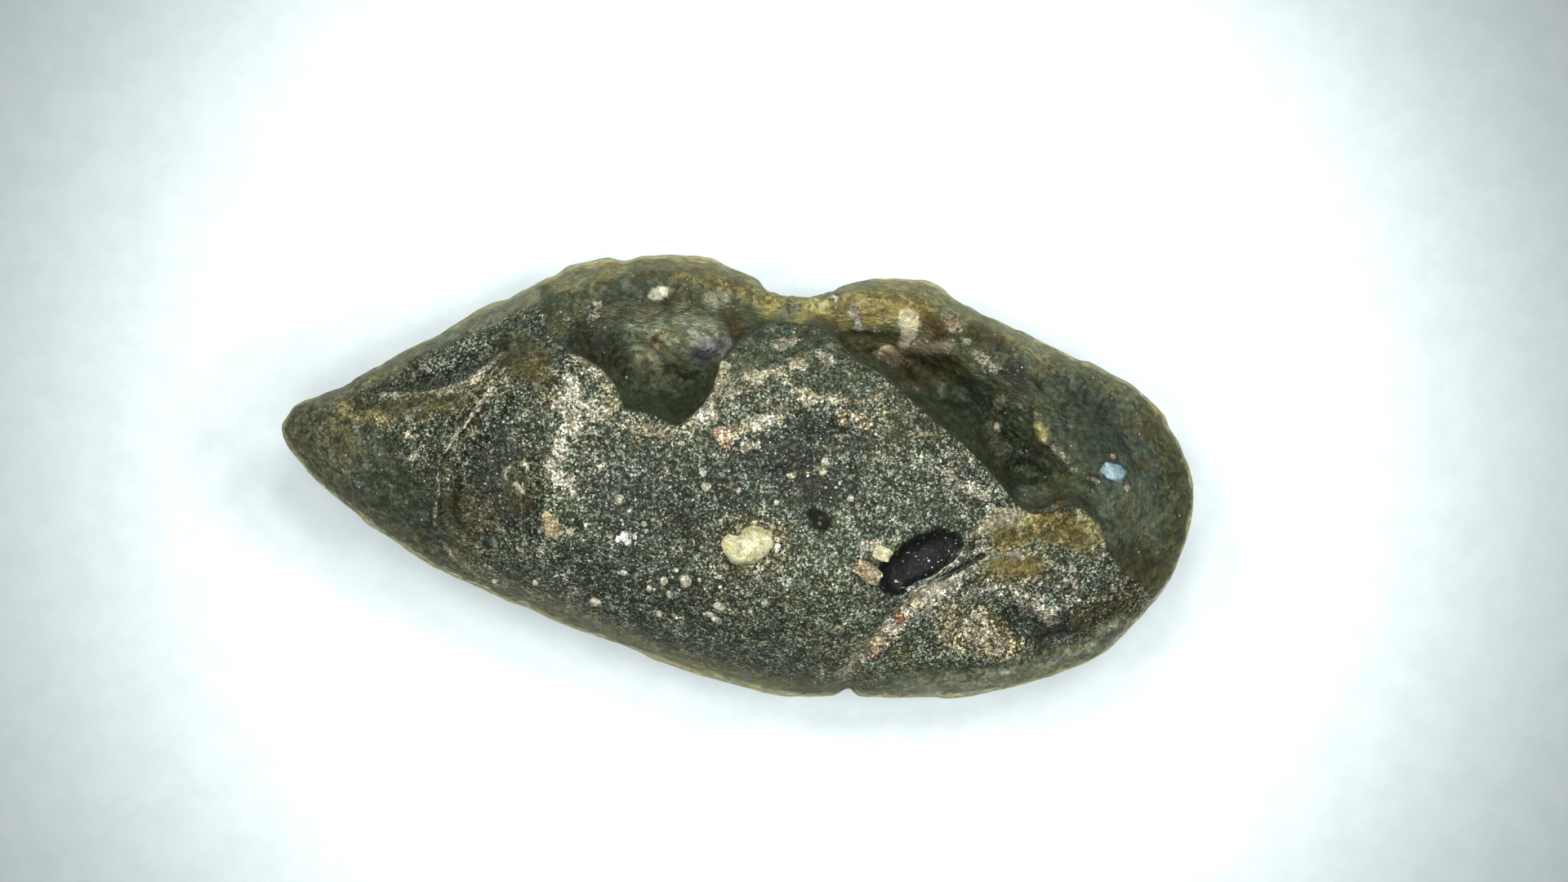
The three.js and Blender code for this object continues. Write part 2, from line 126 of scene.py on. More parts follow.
# The crisp rim behind which the crown has broken away, as in the solid.
RIM = [
    (-4.3, 3.6), (-4.1, 3.15), (-3.85, 2.9), (-3.4, 2.62), (-3.05, 2.42), (-2.85, 2.2),
    (-2.68, 1.98), (-2.6, 1.75), (-2.5, 1.55), (-2.25, 1.48), (-1.95, 1.46), (-1.7, 1.36),
    (-1.5, 1.18), (-1.28, 1.16), (-1.05, 1.33), (-0.8, 1.58), (-0.64, 1.85), (-0.5, 2.15),
    (-0.4, 2.5), (-0.25, 2.77), (0.0, 3.0), (0.3, 3.2), (0.75, 3.4), (1.2, 3.42), (1.7, 3.3),
    (2.1, 3.05), (2.45, 2.68), (2.9, 2.4), (3.3, 2.15), (3.75, 1.72), (4.35, 1.2),
    (4.9, 0.75), (5.4, 0.28), (5.85, -0.28), (6.15, -0.65), (6.45, -0.76), (6.8, -0.74),
    (7.15, -0.55), (7.5, -0.62), (7.85, -1.0), (8.05, -1.55), (8.45, -2.1), (9.0, -2.5),
    (10.0, -3.4),
]
BEYOND_RIM = [(12.0, -4.5), (12.0, 6.5), (-4.6, 6.5)]


def srgb(red, green, blue, lit=0.5):
    """A surface colour from how it looks on a screen under these lamps."""
    def linear(value):
        value /= 255
        return value / 12.92 if value <= 0.04045 else ((value + 0.055) / 1.055) ** 2.4
    return tuple(linear(value) * lit for value in (red, green, blue))


GLASS = srgb(76, 85, 66)
TINTS = {
    # painted light along the outline, for light coming through the thin glass
    "painted_edge_light": srgb(140, 138, 100),
    "tip": srgb(122, 122, 93),
    # paler bands along the outline: painted reflections of the white floor on the steep flanks
    "grey_edge_reflection": srgb(150, 156, 136),
    "olive_edge_reflection": srgb(136, 138, 106),
    "fog": srgb(90, 94, 76),
    "ink": srgb(48, 54, 44),
    "ledge": srgb(114, 110, 77),
    "brown": srgb(92, 84, 48),
    "moss": srgb(84, 84, 50),
    "olive": srgb(158, 158, 118),
    "ochre": srgb(118, 108, 58),
    "honey": srgb(168, 160, 106),
    "pale_edge_reflection": srgb(172, 172, 138),
    "drab": srgb(78, 80, 53),
    "fern": srgb(71, 82, 68),
    "halo": srgb(122, 110, 70),
    "chalk": srgb(234, 228, 204),
    # painted reflection: a cream line where the white floor shows in the steep edge
    "rim": srgb(224, 214, 160, 0.8),
    "amber": srgb(142, 132, 88),
    "rust": srgb(104, 80, 48),
    "deep": srgb(60, 68, 54),
    "pitch": srgb(44, 46, 32),
    "lead": srgb(122, 128, 118),
    "violet": srgb(110, 116, 136),
    "mauve": srgb(124, 112, 98),
    # white specks, and painted glints on pits and bubbles
    "white_speck_and_glint": srgb(150, 164, 170),
    "umber": srgb(62, 56, 30),
    "slate": srgb(70, 82, 74),
    "teal": srgb(48, 60, 52),
    "gold": srgb(154, 138, 88),
    "orange": srgb(150, 128, 66),
    "peat": srgb(76, 64, 24),
    "bone": srgb(206, 198, 176),
    "sienna": srgb(172, 112, 72),
    "coal": srgb(16, 20, 17),
    "pewter": srgb(136, 142, 128),
    "black": srgb(20, 23, 20),
}

# Routes that more than one list follows.
FRONT_BAND = [(3.49, -4.5), (4.92, -4.5), (6.18, -4.29), (7.43, -3.82), (8.5, -3.2)]
FLUTE_FLOOR = [(-5.64, -0.24), (-4.92, -0.64)]
VALLEY = [(5.92, -2.96), (6.12, -3.32)]
VALLEY_BANK = [(6.68, -3.32), (7.46, -3.18)]
FAR_STREAK = [(6.73, 0.89), (7.29, 0.21), (7.8, -0.06)]

# Where the glass changes colour, seen from above: tint, route, half width and amount. The front
# and the ground behind the rim have a list each, because a stain ends at the rim.
FRONT_STAINS = [
    ("halo", [(-0.09, -1.57), (0.45, -1.32)], 0.61, 0.85),  # round the cream grain
    ("moss", [(-4.65, 2.69), (-4.3, 2.51)], 0.36, 0.7),
    # end of the point
    ("tip", [(-9.72, 1.28), (-9.18, 0.83), (-9.08, 1.51), (-8.68, 0.47)], 0.61, 0.8),
    ("grey_edge_reflection", [(-9.11, 1.83), (-8.14, 2.35), (-7.25, 2.77), (-6.3, 3.28), (-5.46, 3.64),
        (-4.56, 4.02), (-3.67, 4.29), (-2.86, 4.48)], 0.3, 1.0),  # band behind the point, paler as a painted reflection of the white floor on the steep flank
    # band along the front's right edge, paler as a painted reflection
    ("grey_edge_reflection", FRONT_BAND, 0.23, 0.75),
    ("olive_edge_reflection", [(-6.18, -1.67), (-4.74, -2.51), (-3.31, -3.11), (-1.88, -3.73), (-0.45, -4.27),
        (0.98, -4.57)], 0.18, 0.6),  # band along the front, paler as a painted reflection of the white floor on the steep flank
    # hollow over the ledge
    ("ink", [(-7.77, 2.23), (-6.89, 2.41), (-6.0, 2.59), (-5.28, 2.89)], 0.23, 0.35),
    # darker front
    ("ink", [(-2.42, -0.24), (-0.98, -0.69), (0.36, 0.3), (1.43, 0.03)], 0.86, 0.55),
    ("ink", [(-3.31, -1.85), (-1.88, -2.57), (-0.45, -2.03)], 0.61, 0.55),
    ("ink", FLUTE_FLOOR, 0.54, 0.85),
    ("ink", [(-0.27, 0.47), (0.98, 0.74), (2.42, -0.06)], 0.47, 0.5),
    ("ink", [(1.7, 1.01), (2.77, 0.74)], 0.29, 0.5),
    ("ink", [(-3.22, 0.12), (-2.86, -0.96)], 0.36, 0.4),
    # the ledge
    ("ledge", [(-8.59, 1.41), (-7.61, 1.49), (-6.71, 1.6), (-5.91, 1.8), (-5.46, 2.12)], 0.27, 0.9),
    ("ink", [(-7.43, 0.74), (-6.89, 0.12)], 0.36, 0.35),
    ("honey", [(-8.05, 1.39), (-7.71, 1.3)], 0.14, 0.95),  # bubble by the point
    ("honey", [(-8.68, 1.6), (-8.54, 1.41), (-8.22, 1.33)], 0.09, 0.8),
    ("umber", [(-8.4, 1.62), (-8.11, 1.55)], 0.09, 0.6),
    ("brown", [(-5.14, 2.73), (-4.56, 2.35), (-4.17, 1.91)], 0.36, 0.75),  # back of the crest
    ("brown", [(-5.53, 2.09), (-5.64, 1.46), (-6.07, 0.83)], 0.14, 0.6),  # right of the flute edge
    ("ink", [(-5.46, 1.01), (-4.74, 0.74), (-5.46, 0.47)], 0.43, 0.6),  # flute
    ("brown", [(-6.18, -0.24), (-5.64, -0.96), (-6.0, -1.49)], 0.47, 0.5),
    ("brown", [(-4.74, -0.42), (-4.39, 0.47)], 0.39, 0.4),
    ("ink", [(1.34, 1.28), (1.92, 1.28)], 0.27, 0.95),  # streaked groove
    ("pitch", [(1.43, -0.06), (1.92, -0.31)], 0.3, 0.9),  # dark dips
    ("pitch", [(1.79, -0.85)], 0.23, 0.8),
    ("ink", [(0.98, 0.47), (1.88, 0.69), (2.42, 0.47)], 0.29, 0.7),
    ("ink", [(-3.13, 2.98), (-3.67, 2.62)], 0.14, 0.7),
    ("amber", [(4.99, 0.47)], 0.14, 0.6),  # thin lip of the second hollow
    ("honey", [(-2.99, 2.35), (-2.74, 2.0), (-2.65, 1.58)], 0.13, 0.7),  # thin lip of the first
    ("ochre", [(5.78, -1.23), (6.39, -1.01), (7.61, -1.23)], 0.43, 0.9),  # olive patch
    ("gold", [(5.55, -1.89), (6.44, -1.94)], 0.36, 0.5),
    ("umber", [(5.82, -1.17)], 0.13, 0.7),
    ("honey", [(5.55, -0.96), (6.09, -0.81), (6.39, -0.96)], 0.16, 0.8),
    ("honey", [(7.61, -0.96), (7.97, -1.32)], 0.18, 0.6),
    ("umber", [(6.26, -1.15)], 0.11, 0.6),
    ("gold", [(4.65, -3.32), (5.19, -3.25), (5.78, -3.57)], 0.39, 0.9),  # gold hollow
    ("halo", [(4.56, -2.84), (4.92, -2.78)], 0.21, 0.6),
    ("ink", VALLEY, 0.2, 0.95),  # valley
    ("ink", VALLEY_BANK, 0.32, 1.0),
    ("ink", [(6.39, -2.32), (7.25, -2.53)], 0.14, 0.7),
    ("brown", [(7.5, -3.0), (8.5, -2.6), (9.04, -2.03)], 0.32, 0.7),
    ("umber", [(7.79, -2.96), (8.47, -2.64)], 0.29, 0.5),
    ("brown", [(3.13, -3.64), (3.67, -3.91)], 0.25, 0.6),
]
BACK_STAINS = [
    ("pale_edge_reflection", [(4.12, 4.2), (4.6, 3.95), (5.62, 3.34), (6.46, 2.8), (7.29, 2.41), (8.41, 1.94),
        (8.86, 1.58)], 0.34, 0.65),  # smooth outer band, paler as a painted reflection of the white floor on the steep flank
    ("fog", [(6.35, 2.53), (7.07, 2.17)], 0.21, 0.7),
    # back edge, paler as a painted reflection
    ("pale_edge_reflection", [(-3.85, 4.25), (-3.28, 4.48), (-2.69, 4.61)], 0.23, 0.6),
    ("slate", [(7.61, 1.73), (8.59, 0.3), (8.86, -1.14), (8.41, -2.03)], 1.04, 0.85),  # flank
    ("drab", [(9.08, 1.55), (9.58, 0.47), (9.84, -0.96), (9.4, -1.85), (8.86, -2.75)], 0.36, 0.9),
    ("umber", [(7.88, -1.76), (8.86, -1.85), (8.5, -2.66)], 0.43, 0.75),
    ("fog", [(8.41, -0.42), (8.86, -0.96)], 0.36, 0.6),
    ("umber", [(8.75, 0.37)], 0.16, 0.8),
    ("umber", [(9.65, 0.1)], 0.14, 0.7),
    ("brown", [(8.14, 1.19), (8.86, 1.01)], 0.25, 0.5),
    # behind the first hollow
    ("fog", [(-3.4, 3.43), (-2.6, 3.88), (-1.52, 4.23), (-0.98, 4.32)], 0.47, 0.75),
    ("deep", [(-3.31, 3.02), (-3.04, 2.62)], 0.39, 0.7),
    # painted shadow between the shelf and the knob
    ("umber", [(-2.24, 3.61), (-1.61, 3.79), (-0.98, 3.91)], 0.21, 0.75),
    ("umber", [(-4.21, 3.61), (-3.85, 3.34)], 0.21, 0.4),
    ("fern", [(-2.95, 2.8), (-2.0, 1.94), (-1.25, 1.94)], 0.64, 0.95),  # first hollow
    ("pitch", [(-3.58, 2.94), (-3.13, 2.71), (-2.6, 2.62)], 0.25, 0.9),  # its left corner
    ("pitch", [(-3.45, 3.12), (-2.86, 3.05)], 0.29, 0.9),
    ("deep", [(-2.86, 3.91), (-2.06, 4.05)], 0.32, 0.6),  # its shelf
    ("deep", [(-2.33, 1.55), (-1.66, 1.37), (-0.98, 1.55), (-0.59, 2.09)], 0.21, 0.5),  # its foot, darker as painted shade under the front wall
    ("pewter", [(-1.79, 2.98), (-1.25, 3.07), (-0.66, 2.94)], 0.64, 1.0),  # knob
    ("violet", [(-0.77, 2.77), (-0.48, 2.89)], 0.3, 0.95),
    ("mauve", [(-1.88, 2.84)], 0.21, 0.7),
    ("lead", [(-0.57, 3.88), (-0.27, 4.02)], 0.23, 0.8),  # small knob
    ("umber", [(-0.21, 3.62), (-0.05, 3.2)], 0.23, 0.95),  # cleft by the knob, painted shade
    ("rust", [(-0.04, 3.34)], 0.13, 0.6),
    ("amber", [(-1.2, 4.45), (-0.61, 4.41), (-0.09, 4.23), (0.45, 3.96)], 0.23, 0.7),
    ("moss", [(-1.52, 4.48), (-0.98, 4.48)], 0.21, 0.5),
    ("rust", [(-0.18, 4.27)], 0.14, 0.6),
    ("honey", [(0.72, 3.77), (1.43, 3.7), (1.84, 3.73)], 0.27, 0.9),  # saddle
    ("honey", [(2.69, 3.79), (3.31, 3.91)], 0.32, 0.85),
    ("amber", [(2.24, 3.73), (3.04, 3.79), (3.76, 3.79)], 0.43, 0.9),
    ("brown", [(2.86, 2.8), (3.4, 2.66)], 0.23, 0.7),
    ("olive", [(-0.63, 4.73), (0.09, 4.54), (0.54, 4.23), (0.98, 4.0), (1.52, 3.93),
        (2.06, 4.13), (2.77, 4.34), (3.76, 4.27)], 0.16, 0.95),  # thin back edge
    ("olive", [(-2.86, 4.48), (-1.88, 4.66), (-0.63, 4.73)], 0.14, 0.4),
    ("brown", [(2.51, 3.02), (3.1, 2.98)], 0.18, 0.6),  # pit in the saddle
    ("umber", [(4.19, 3.3)], 0.27, 0.98),  # pit by the clay
    ("umber", [(5.24, 3.2), (5.67, 3.02)], 0.2, 0.85),
    ("drab", [(3.31, 2.8), (4.03, 2.53), (4.92, 2.62)], 0.72, 0.7),  # olive walls
    ("amber", [(2.77, 3.7), (3.4, 3.73), (3.94, 3.61)], 0.36, 0.8),
    ("deep", [(3.94, 2.0), (4.47, 1.73)], 0.47, 0.9),  # second hollow
    ("umber", [(3.81, 2.41), (4.56, 2.48)], 0.25, 0.8),
    ("lead", [(4.49, 1.94)], 0.13, 0.7),
    ("mauve", [(3.71, 2.09), (4.06, 2.05)], 0.13, 0.6),
    ("deep", [(5.28, 1.73), (5.73, 0.65), (6.26, -0.06)], 0.61, 0.9),  # its floor
    ("deep", [(5.91, 2.26), (6.18, 1.55), (6.39, 0.74)], 0.47, 0.85),
    ("umber", [(6.0, 2.16)], 0.34, 0.9),
    ("umber", [(6.57, 2.05)], 0.11, 0.8),
    ("deep", [(7.52, 1.05)], 0.25, 0.6),
    ("deep", RIM[24:39], 0.25, 0.6),  # painted shade at the foot of the wall behind its rim
    ("lead", [(6.26, -0.38), (6.62, -0.3)], 0.21, 0.7),
    ("teal", [(7.61, 1.55), (7.97, 1.1), (8.14, 0.65)], 0.5, 0.9),
    ("rust", [(7.03, -0.56)], 0.16, 0.7),
    ("honey", [(6.57, 1.21), (6.68, 0.94)], 0.11, 0.9),  # its ridge
    ("honey", [(6.5, 1.44)], 0.06, 0.6),
]
# Spots with a crisp edge, which lie over glass and clay on either side of the rim.
CRISP_STAINS = [
    ("orange", [(5.57, -1.87), (6.0, -1.92), (6.32, -1.85)], 0.16, 0.35),
    ("bone", [(3.03, -3.48), (2.74, -3.71)], 0.13, 0.8),  # lumps of clay in the furrow
    ("bone", [(2.56, -3.93), (2.34, -4.22)], 0.09, 0.8),
    ("chalk", [(3.87, -2.68), (4.21, -2.5)], 0.16, 0.75),
    ("bone", [(4.39, -2.28)], 0.11, 0.7),
    ("sienna", [(3.51, -3.09)], 0.09, 0.8),
    ("sienna", [(3.24, -3.52)], 0.06, 0.6),
    ("lead", [(5.87, 2.09)], 0.05, 0.8),  # specks in the second hollow
    ("lead", [(5.69, 1.64)], 0.13, 0.7),
    ("white_speck_and_glint", [(6.14, 1.64)], 0.05, 0.8),
    ("chalk", [(5.64, 1.14)], 0.08, 0.7),
    ("white_speck_and_glint", [(6.14, 1.35)], 0.04, 0.8),
    ("lead", [(5.14, 0.83)], 0.05, 0.6),
    ("white_speck_and_glint", [(6.71, 0.6)], 0.04, 0.9),
    ("lead", [(5.44, 0.64)], 0.05, 0.6),
    ("lead", [(7.23, 1.14)], 0.05, 0.6),
    ("pitch", [(6.05, 2.25)], 0.23, 0.7),
    ("pitch", [(1.41, -0.1), (1.7, -0.24), (1.92, -0.28)], 0.25, 0.85),  # dark dip
    ("chalk", [(3.69, 3.48), (3.71, 3.25)], 0.21, 0.8),  # clay in the saddle
    ("bone", [(3.65, 3.2), (3.62, 2.98)], 0.14, 0.85),
    ("bone", [(3.88, 2.96), (4.17, 2.86), (4.49, 2.91)], 0.09, 0.6),
    ("bone", [(2.99, 2.75), (3.28, 2.84)], 0.07, 0.6),
    ("mauve", [(3.22, 2.69), (3.49, 2.8), (3.94, 2.89), (4.22, 2.86), (4.56, 2.89)], 0.11, 0.8),
    ("peat", [(4.21, 3.3)], 0.25, 0.9),  # pit by the clay
    ("umber", [(3.81, 2.44), (4.12, 2.35), (4.47, 2.41)], 0.23, 0.8),
    ("peat", [(5.16, 3.28), (5.37, 3.18)], 0.16, 0.75),
    ("pitch", [(5.75, 2.94), (5.92, 2.86)], 0.18, 0.7),
    ("pitch", [(5.96, 2.41), (6.1, 2.09)], 0.25, 0.6),
    ("white_speck_and_glint", [(4.96, 2.98)], 0.06, 0.8),
    ("white_speck_and_glint", [(5.55, -1.6)], 0.09, 0.9),  # bubbles in the olive patch, with painted highlights as white rings
    ("ochre", [(5.55, -1.62)], 0.04, 0.9),
    ("white_speck_and_glint", [(6.03, -1.66)], 0.11, 0.9),
    ("ochre", [(6.0, -1.67)], 0.04, 0.9),
    ("chalk", [(6.44, -1.26)], 0.05, 0.9),
    ("chalk", [(7.29, -1.98)], 0.05, 0.8),
    ("chalk", [(-1.83, 4.04), (-1.66, 4.07)], 0.14, 0.8),  # spot behind the first hollow
    ("coal", [(3.44, -2.16), (3.85, -1.82), (4.39, -1.57)], 0.43, 1.0),  # lens pit
    ("coal", [(3.71, -1.6), (4.21, -1.39), (4.65, -1.39)], 0.25, 1.0),
    ("black", [(1.66, -0.76), (1.84, -0.96)], 0.18, 0.75),  # dark dip
    # painted glint in the dark dip
    ("white_speck_and_glint", [(1.75, -0.96)], 0.04, 0.8),
    ("coal", [(4.39, -2.16), (4.92, -1.91), (5.3, -1.67)], 0.07, 0.9),  # its crescent
    # ridge between them
    ("lead", [(3.71, -2.35), (4.35, -2.12), (4.74, -1.85), (4.9, -1.57)], 0.05, 0.6),
    ("black", [(-5.48, -1.39)], 0.13, 0.9),  # pit in the flute, painted: black for its shaded side, with white glints on its edge
    ("white_speck_and_glint", [(-5.35, -1.26), (-5.3, -1.46)], 0.05, 0.95),
    ("white_speck_and_glint", [(-5.6, -1.26)], 0.05, 0.7),
    ("chalk", [(-4.69, 0.38), (-4.6, 0.22)], 0.04, 0.9),  # crystals in the flute
    ("chalk", [(-4.85, -0.17), (-4.73, -0.3)], 0.05, 0.9),
    ("chalk", [(-5.07, 0.26), (-5.08, -0.06)], 0.02, 0.7),
    ("chalk", [(5.08, -2.93), (5.41, -3.14)], 0.05, 0.95),  # in the gold hollow
    ("white_speck_and_glint", [(4.98, -3.07), (5.21, -3.25)], 0.04, 0.8),
]

# Clay that the skin has kept: warmth, route, half width and amount.
PALE, WARM, RUST = 0.0, 0.5, 1.0
FRONT_CLAY = [
    (PALE, [(-3.67, 2.09), (-3.72, 1.55), (-3.45, 1.01)], 0.32, 0.74),  # beside the flute
    (PALE, [(-3.85, 0.74), (-3.92, -0.06), (-3.62, -0.21)], 0.21, 0.8),
    (PALE, [(-3.45, 0.83), (-3.13, 0.47)], 0.29, 0.5),
    (PALE, [(-3.17, 1.51), (-2.81, 1.41)], 0.27, 0.75),
    (WARM, [(-3.4, 2.51), (-2.95, 2.28), (-2.74, 1.94), (-2.67, 1.51)], 0.18, 0.85),  # hollow's lip
    (WARM, [(-2.56, 1.19), (-1.97, 1.05), (-1.34, 0.96)], 0.25, 0.6),
    (WARM, [(-0.38, 2.48), (-0.55, 1.91), (-0.81, 1.46), (-1.16, 1.07)], 0.18, 0.75),
    (PALE, [(-0.7, 1.42), (-0.52, 1.33)], 0.11, 0.8),
    (PALE, [(0.93, 2.91), (1.16, 2.94)], 0.13, 0.9),  # on the apex
    (PALE, [(1.75, 2.69), (1.92, 2.6)], 0.11, 0.9),
    (WARM, [(1.2, 2.55), (1.43, 2.44)], 0.16, 0.7),
    (WARM, [(0.18, 2.23), (0.77, 2.3), (1.07, 2.16)], 0.14, 0.85),
    (WARM, [(-0.09, 2.0), (0.45, 1.91)], 0.14, 0.6),
    (WARM, [(0.98, 1.94), (1.7, 1.85)], 0.09, 0.7),
    (WARM, [(-0.09, 1.05), (0.45, 1.19), (0.93, 1.41)], 0.16, 0.9),
    (PALE, [(0.45, 1.26), (0.72, 1.33)], 0.14, 0.8),
    (RUST, [(-0.48, 1.05), (-0.27, 0.83)], 0.14, 0.9),
    (PALE, [(-0.7, 1.19)], 0.09, 0.8),
    (PALE, [(0.13, 0.69), (0.38, 0.72)], 0.11, 0.9),
    (WARM, [(-1.25, 0.87)], 0.14, 0.8),
    (WARM, [(1.43, 1.76), (2.15, 1.75)], 0.14, 0.9),  # in the streaked groove
    (RUST, [(2.33, 1.37), (2.6, 1.33), (2.81, 1.28)], 0.2, 0.55),
    (PALE, [(2.51, 1.3)], 0.11, 0.7),
    (RUST, [(2.92, 1.41), (3.13, 1.46)], 0.13, 0.6),
    (WARM, [(2.95, 1.33), (3.45, 1.51)], 0.14, 0.5),
    (WARM, [(2.06, 1.66), (2.95, 1.75), (3.49, 1.6)], 0.11, 0.5),
    (WARM, [(3.85, 0.92), (4.12, 1.05)], 0.14, 0.6),
    (WARM, [(1.16, 0.06), (1.84, 0.15)], 0.11, 0.6),
    (WARM, [(-0.09, 2.53), (0.45, 2.89), (1.07, 3.25)], 0.39, 0.22),
    (WARM, [(-0.2, 1.91), (0.81, 1.91)], 0.3, 0.32),
    (WARM, [(3.29, 0.96), (4.3, 0.44), (5.3, -0.24)], 0.43, 0.26),  # grit along the rim
    (PALE, [(3.94, 0.47), (4.56, 0.21), (5.19, -0.24)], 0.21, 0.4),
    (PALE, [(4.74, 0.03), (5.37, -0.38), (5.6, -0.69)], 0.18, 0.7),
    (PALE, [(5.37, -1.53), (5.1, -1.85), (4.71, -2.07)], 0.14, 0.85),  # the furrow
    (PALE, [(4.6, -2.17), (4.21, -2.43), (3.88, -2.6)], 0.29, 1.0),
    (PALE, [(3.88, -2.6), (3.56, -2.96), (3.31, -3.25)], 0.2, 0.95),
    (RUST, [(3.45, -3.05)], 0.16, 1.0),
    (PALE, [(3.31, -3.25), (3.04, -3.48), (2.77, -3.73)], 0.16, 1.0),
    (PALE, [(3.04, -3.48), (2.74, -3.75), (2.42, -4.09), (2.27, -4.29)], 0.16, 1.0),
    (RUST, [(3.17, -3.57), (2.85, -3.86)], 0.09, 0.7),
    (PALE, [(4.96, -1.85), (5.1, -2.39), (6.0, -2.43), (6.8, -2.66)], 0.21, 0.6),
    (PALE, [(6.21, -2.66), (6.78, -2.96)], 0.25, 0.62),
    (PALE, [(7.03, -2.07), (7.46, -2.68)], 0.25, 0.6),
    (PALE, [(7.97, -0.96), (8.07, -1.37), (7.88, -1.76)], 0.11, 0.8),
    (WARM, [(5.19, -1.23), (5.55, -0.96), (6.0, -0.78)], 0.16, 0.8),
    (WARM, [(4.65, -3.2), (5.6, -3.5)], 0.3, 0.65),  # in the gold hollow
    (PALE, [(2.69, -1.49), (2.99, -1.46)], 0.13, 0.8),
    # line along the ledge
    (WARM, [(-8.05, 1.8), (-7.25, 1.83), (-6.53, 1.87), (-6.14, 2.01), (-5.73, 2.17)], 0.07, 0.6),
    (PALE, [(-5.73, 2.21), (-5.46, 2.46), (-5.19, 2.8)], 0.06, 0.6),
    (WARM, [(-8.4, 1.15), (-8.27, 0.87)], 0.13, 0.5),
    (WARM, [(-7.09, 0.49)], 0.11, 1.0),
    (WARM, [(-7.14, 0.92)], 0.13, 0.7),
    (WARM, [(-5.32, 2.12), (-5.5, 1.75), (-5.67, 1.51)], 0.07, 0.6),  # flute edge
    (PALE, [(-5.8, 1.39), (-6.18, 0.9), (-6.43, 0.6)], 0.05, 0.6),
    (PALE, [(-6.53, 0.17), (-6.53, -0.21), (-6.61, -0.64), (-6.62, -0.99)], 0.05, 0.5),
    (PALE, [(-6.53, -1.42), (-6.23, -1.73)], 0.04, 0.6),
    (PALE, [(-4.3, -1.49), (-3.85, -2.17), (-3.56, -2.6)], 0.39, 0.35),
]
BACK_CLAY = [
    (PALE, [(-3.06, 3.84)], 0.09, 0.8),
    (PALE, [(-3.22, 3.5)], 0.16, 0.5),
    (PALE, [(-3.65, 3.28), (-3.85, 3.43)], 0.18, 0.5),
    (RUST, [(-3.76, 3.7)], 0.13, 0.4),
    (PALE, [(2.52, 3.64), (2.6, 3.34)], 0.13, 0.8),
    (PALE, [(2.99, 3.3)], 0.11, 0.8),
    (PALE, [(1.95, 4.05), (2.09, 3.95)], 0.13, 0.8),
    (PALE, [(1.04, 3.62), (1.2, 3.7)], 0.14, 0.6),
    (RUST, [(2.99, 2.73), (3.38, 2.6)], 0.14, 0.6),
    (PALE, [(3.94, 2.93), (4.22, 2.87), (4.55, 2.89)], 0.14, 0.8),
    (RUST, [(4.65, 3.41), (4.83, 3.34)], 0.13, 0.8),
    (PALE, [(4.99, 3.0)], 0.11, 0.8),
    (WARM, [(5.28, 2.73), (5.62, 2.5)], 0.2, 0.5),
    (WARM, [(5.69, 1.64)], 0.13, 0.9),
    (PALE, [(5.64, 1.14)], 0.09, 0.95),
    (WARM, FAR_STREAK, 0.09, 0.6),
    (PALE, [(8.47, -0.19)], 0.07, 0.8),
    (RUST, [(8.16, 0.49)], 0.08, 1.0),
    (RUST, [(3.67, 2.09), (3.88, 2.12)], 0.14, 0.4),
]

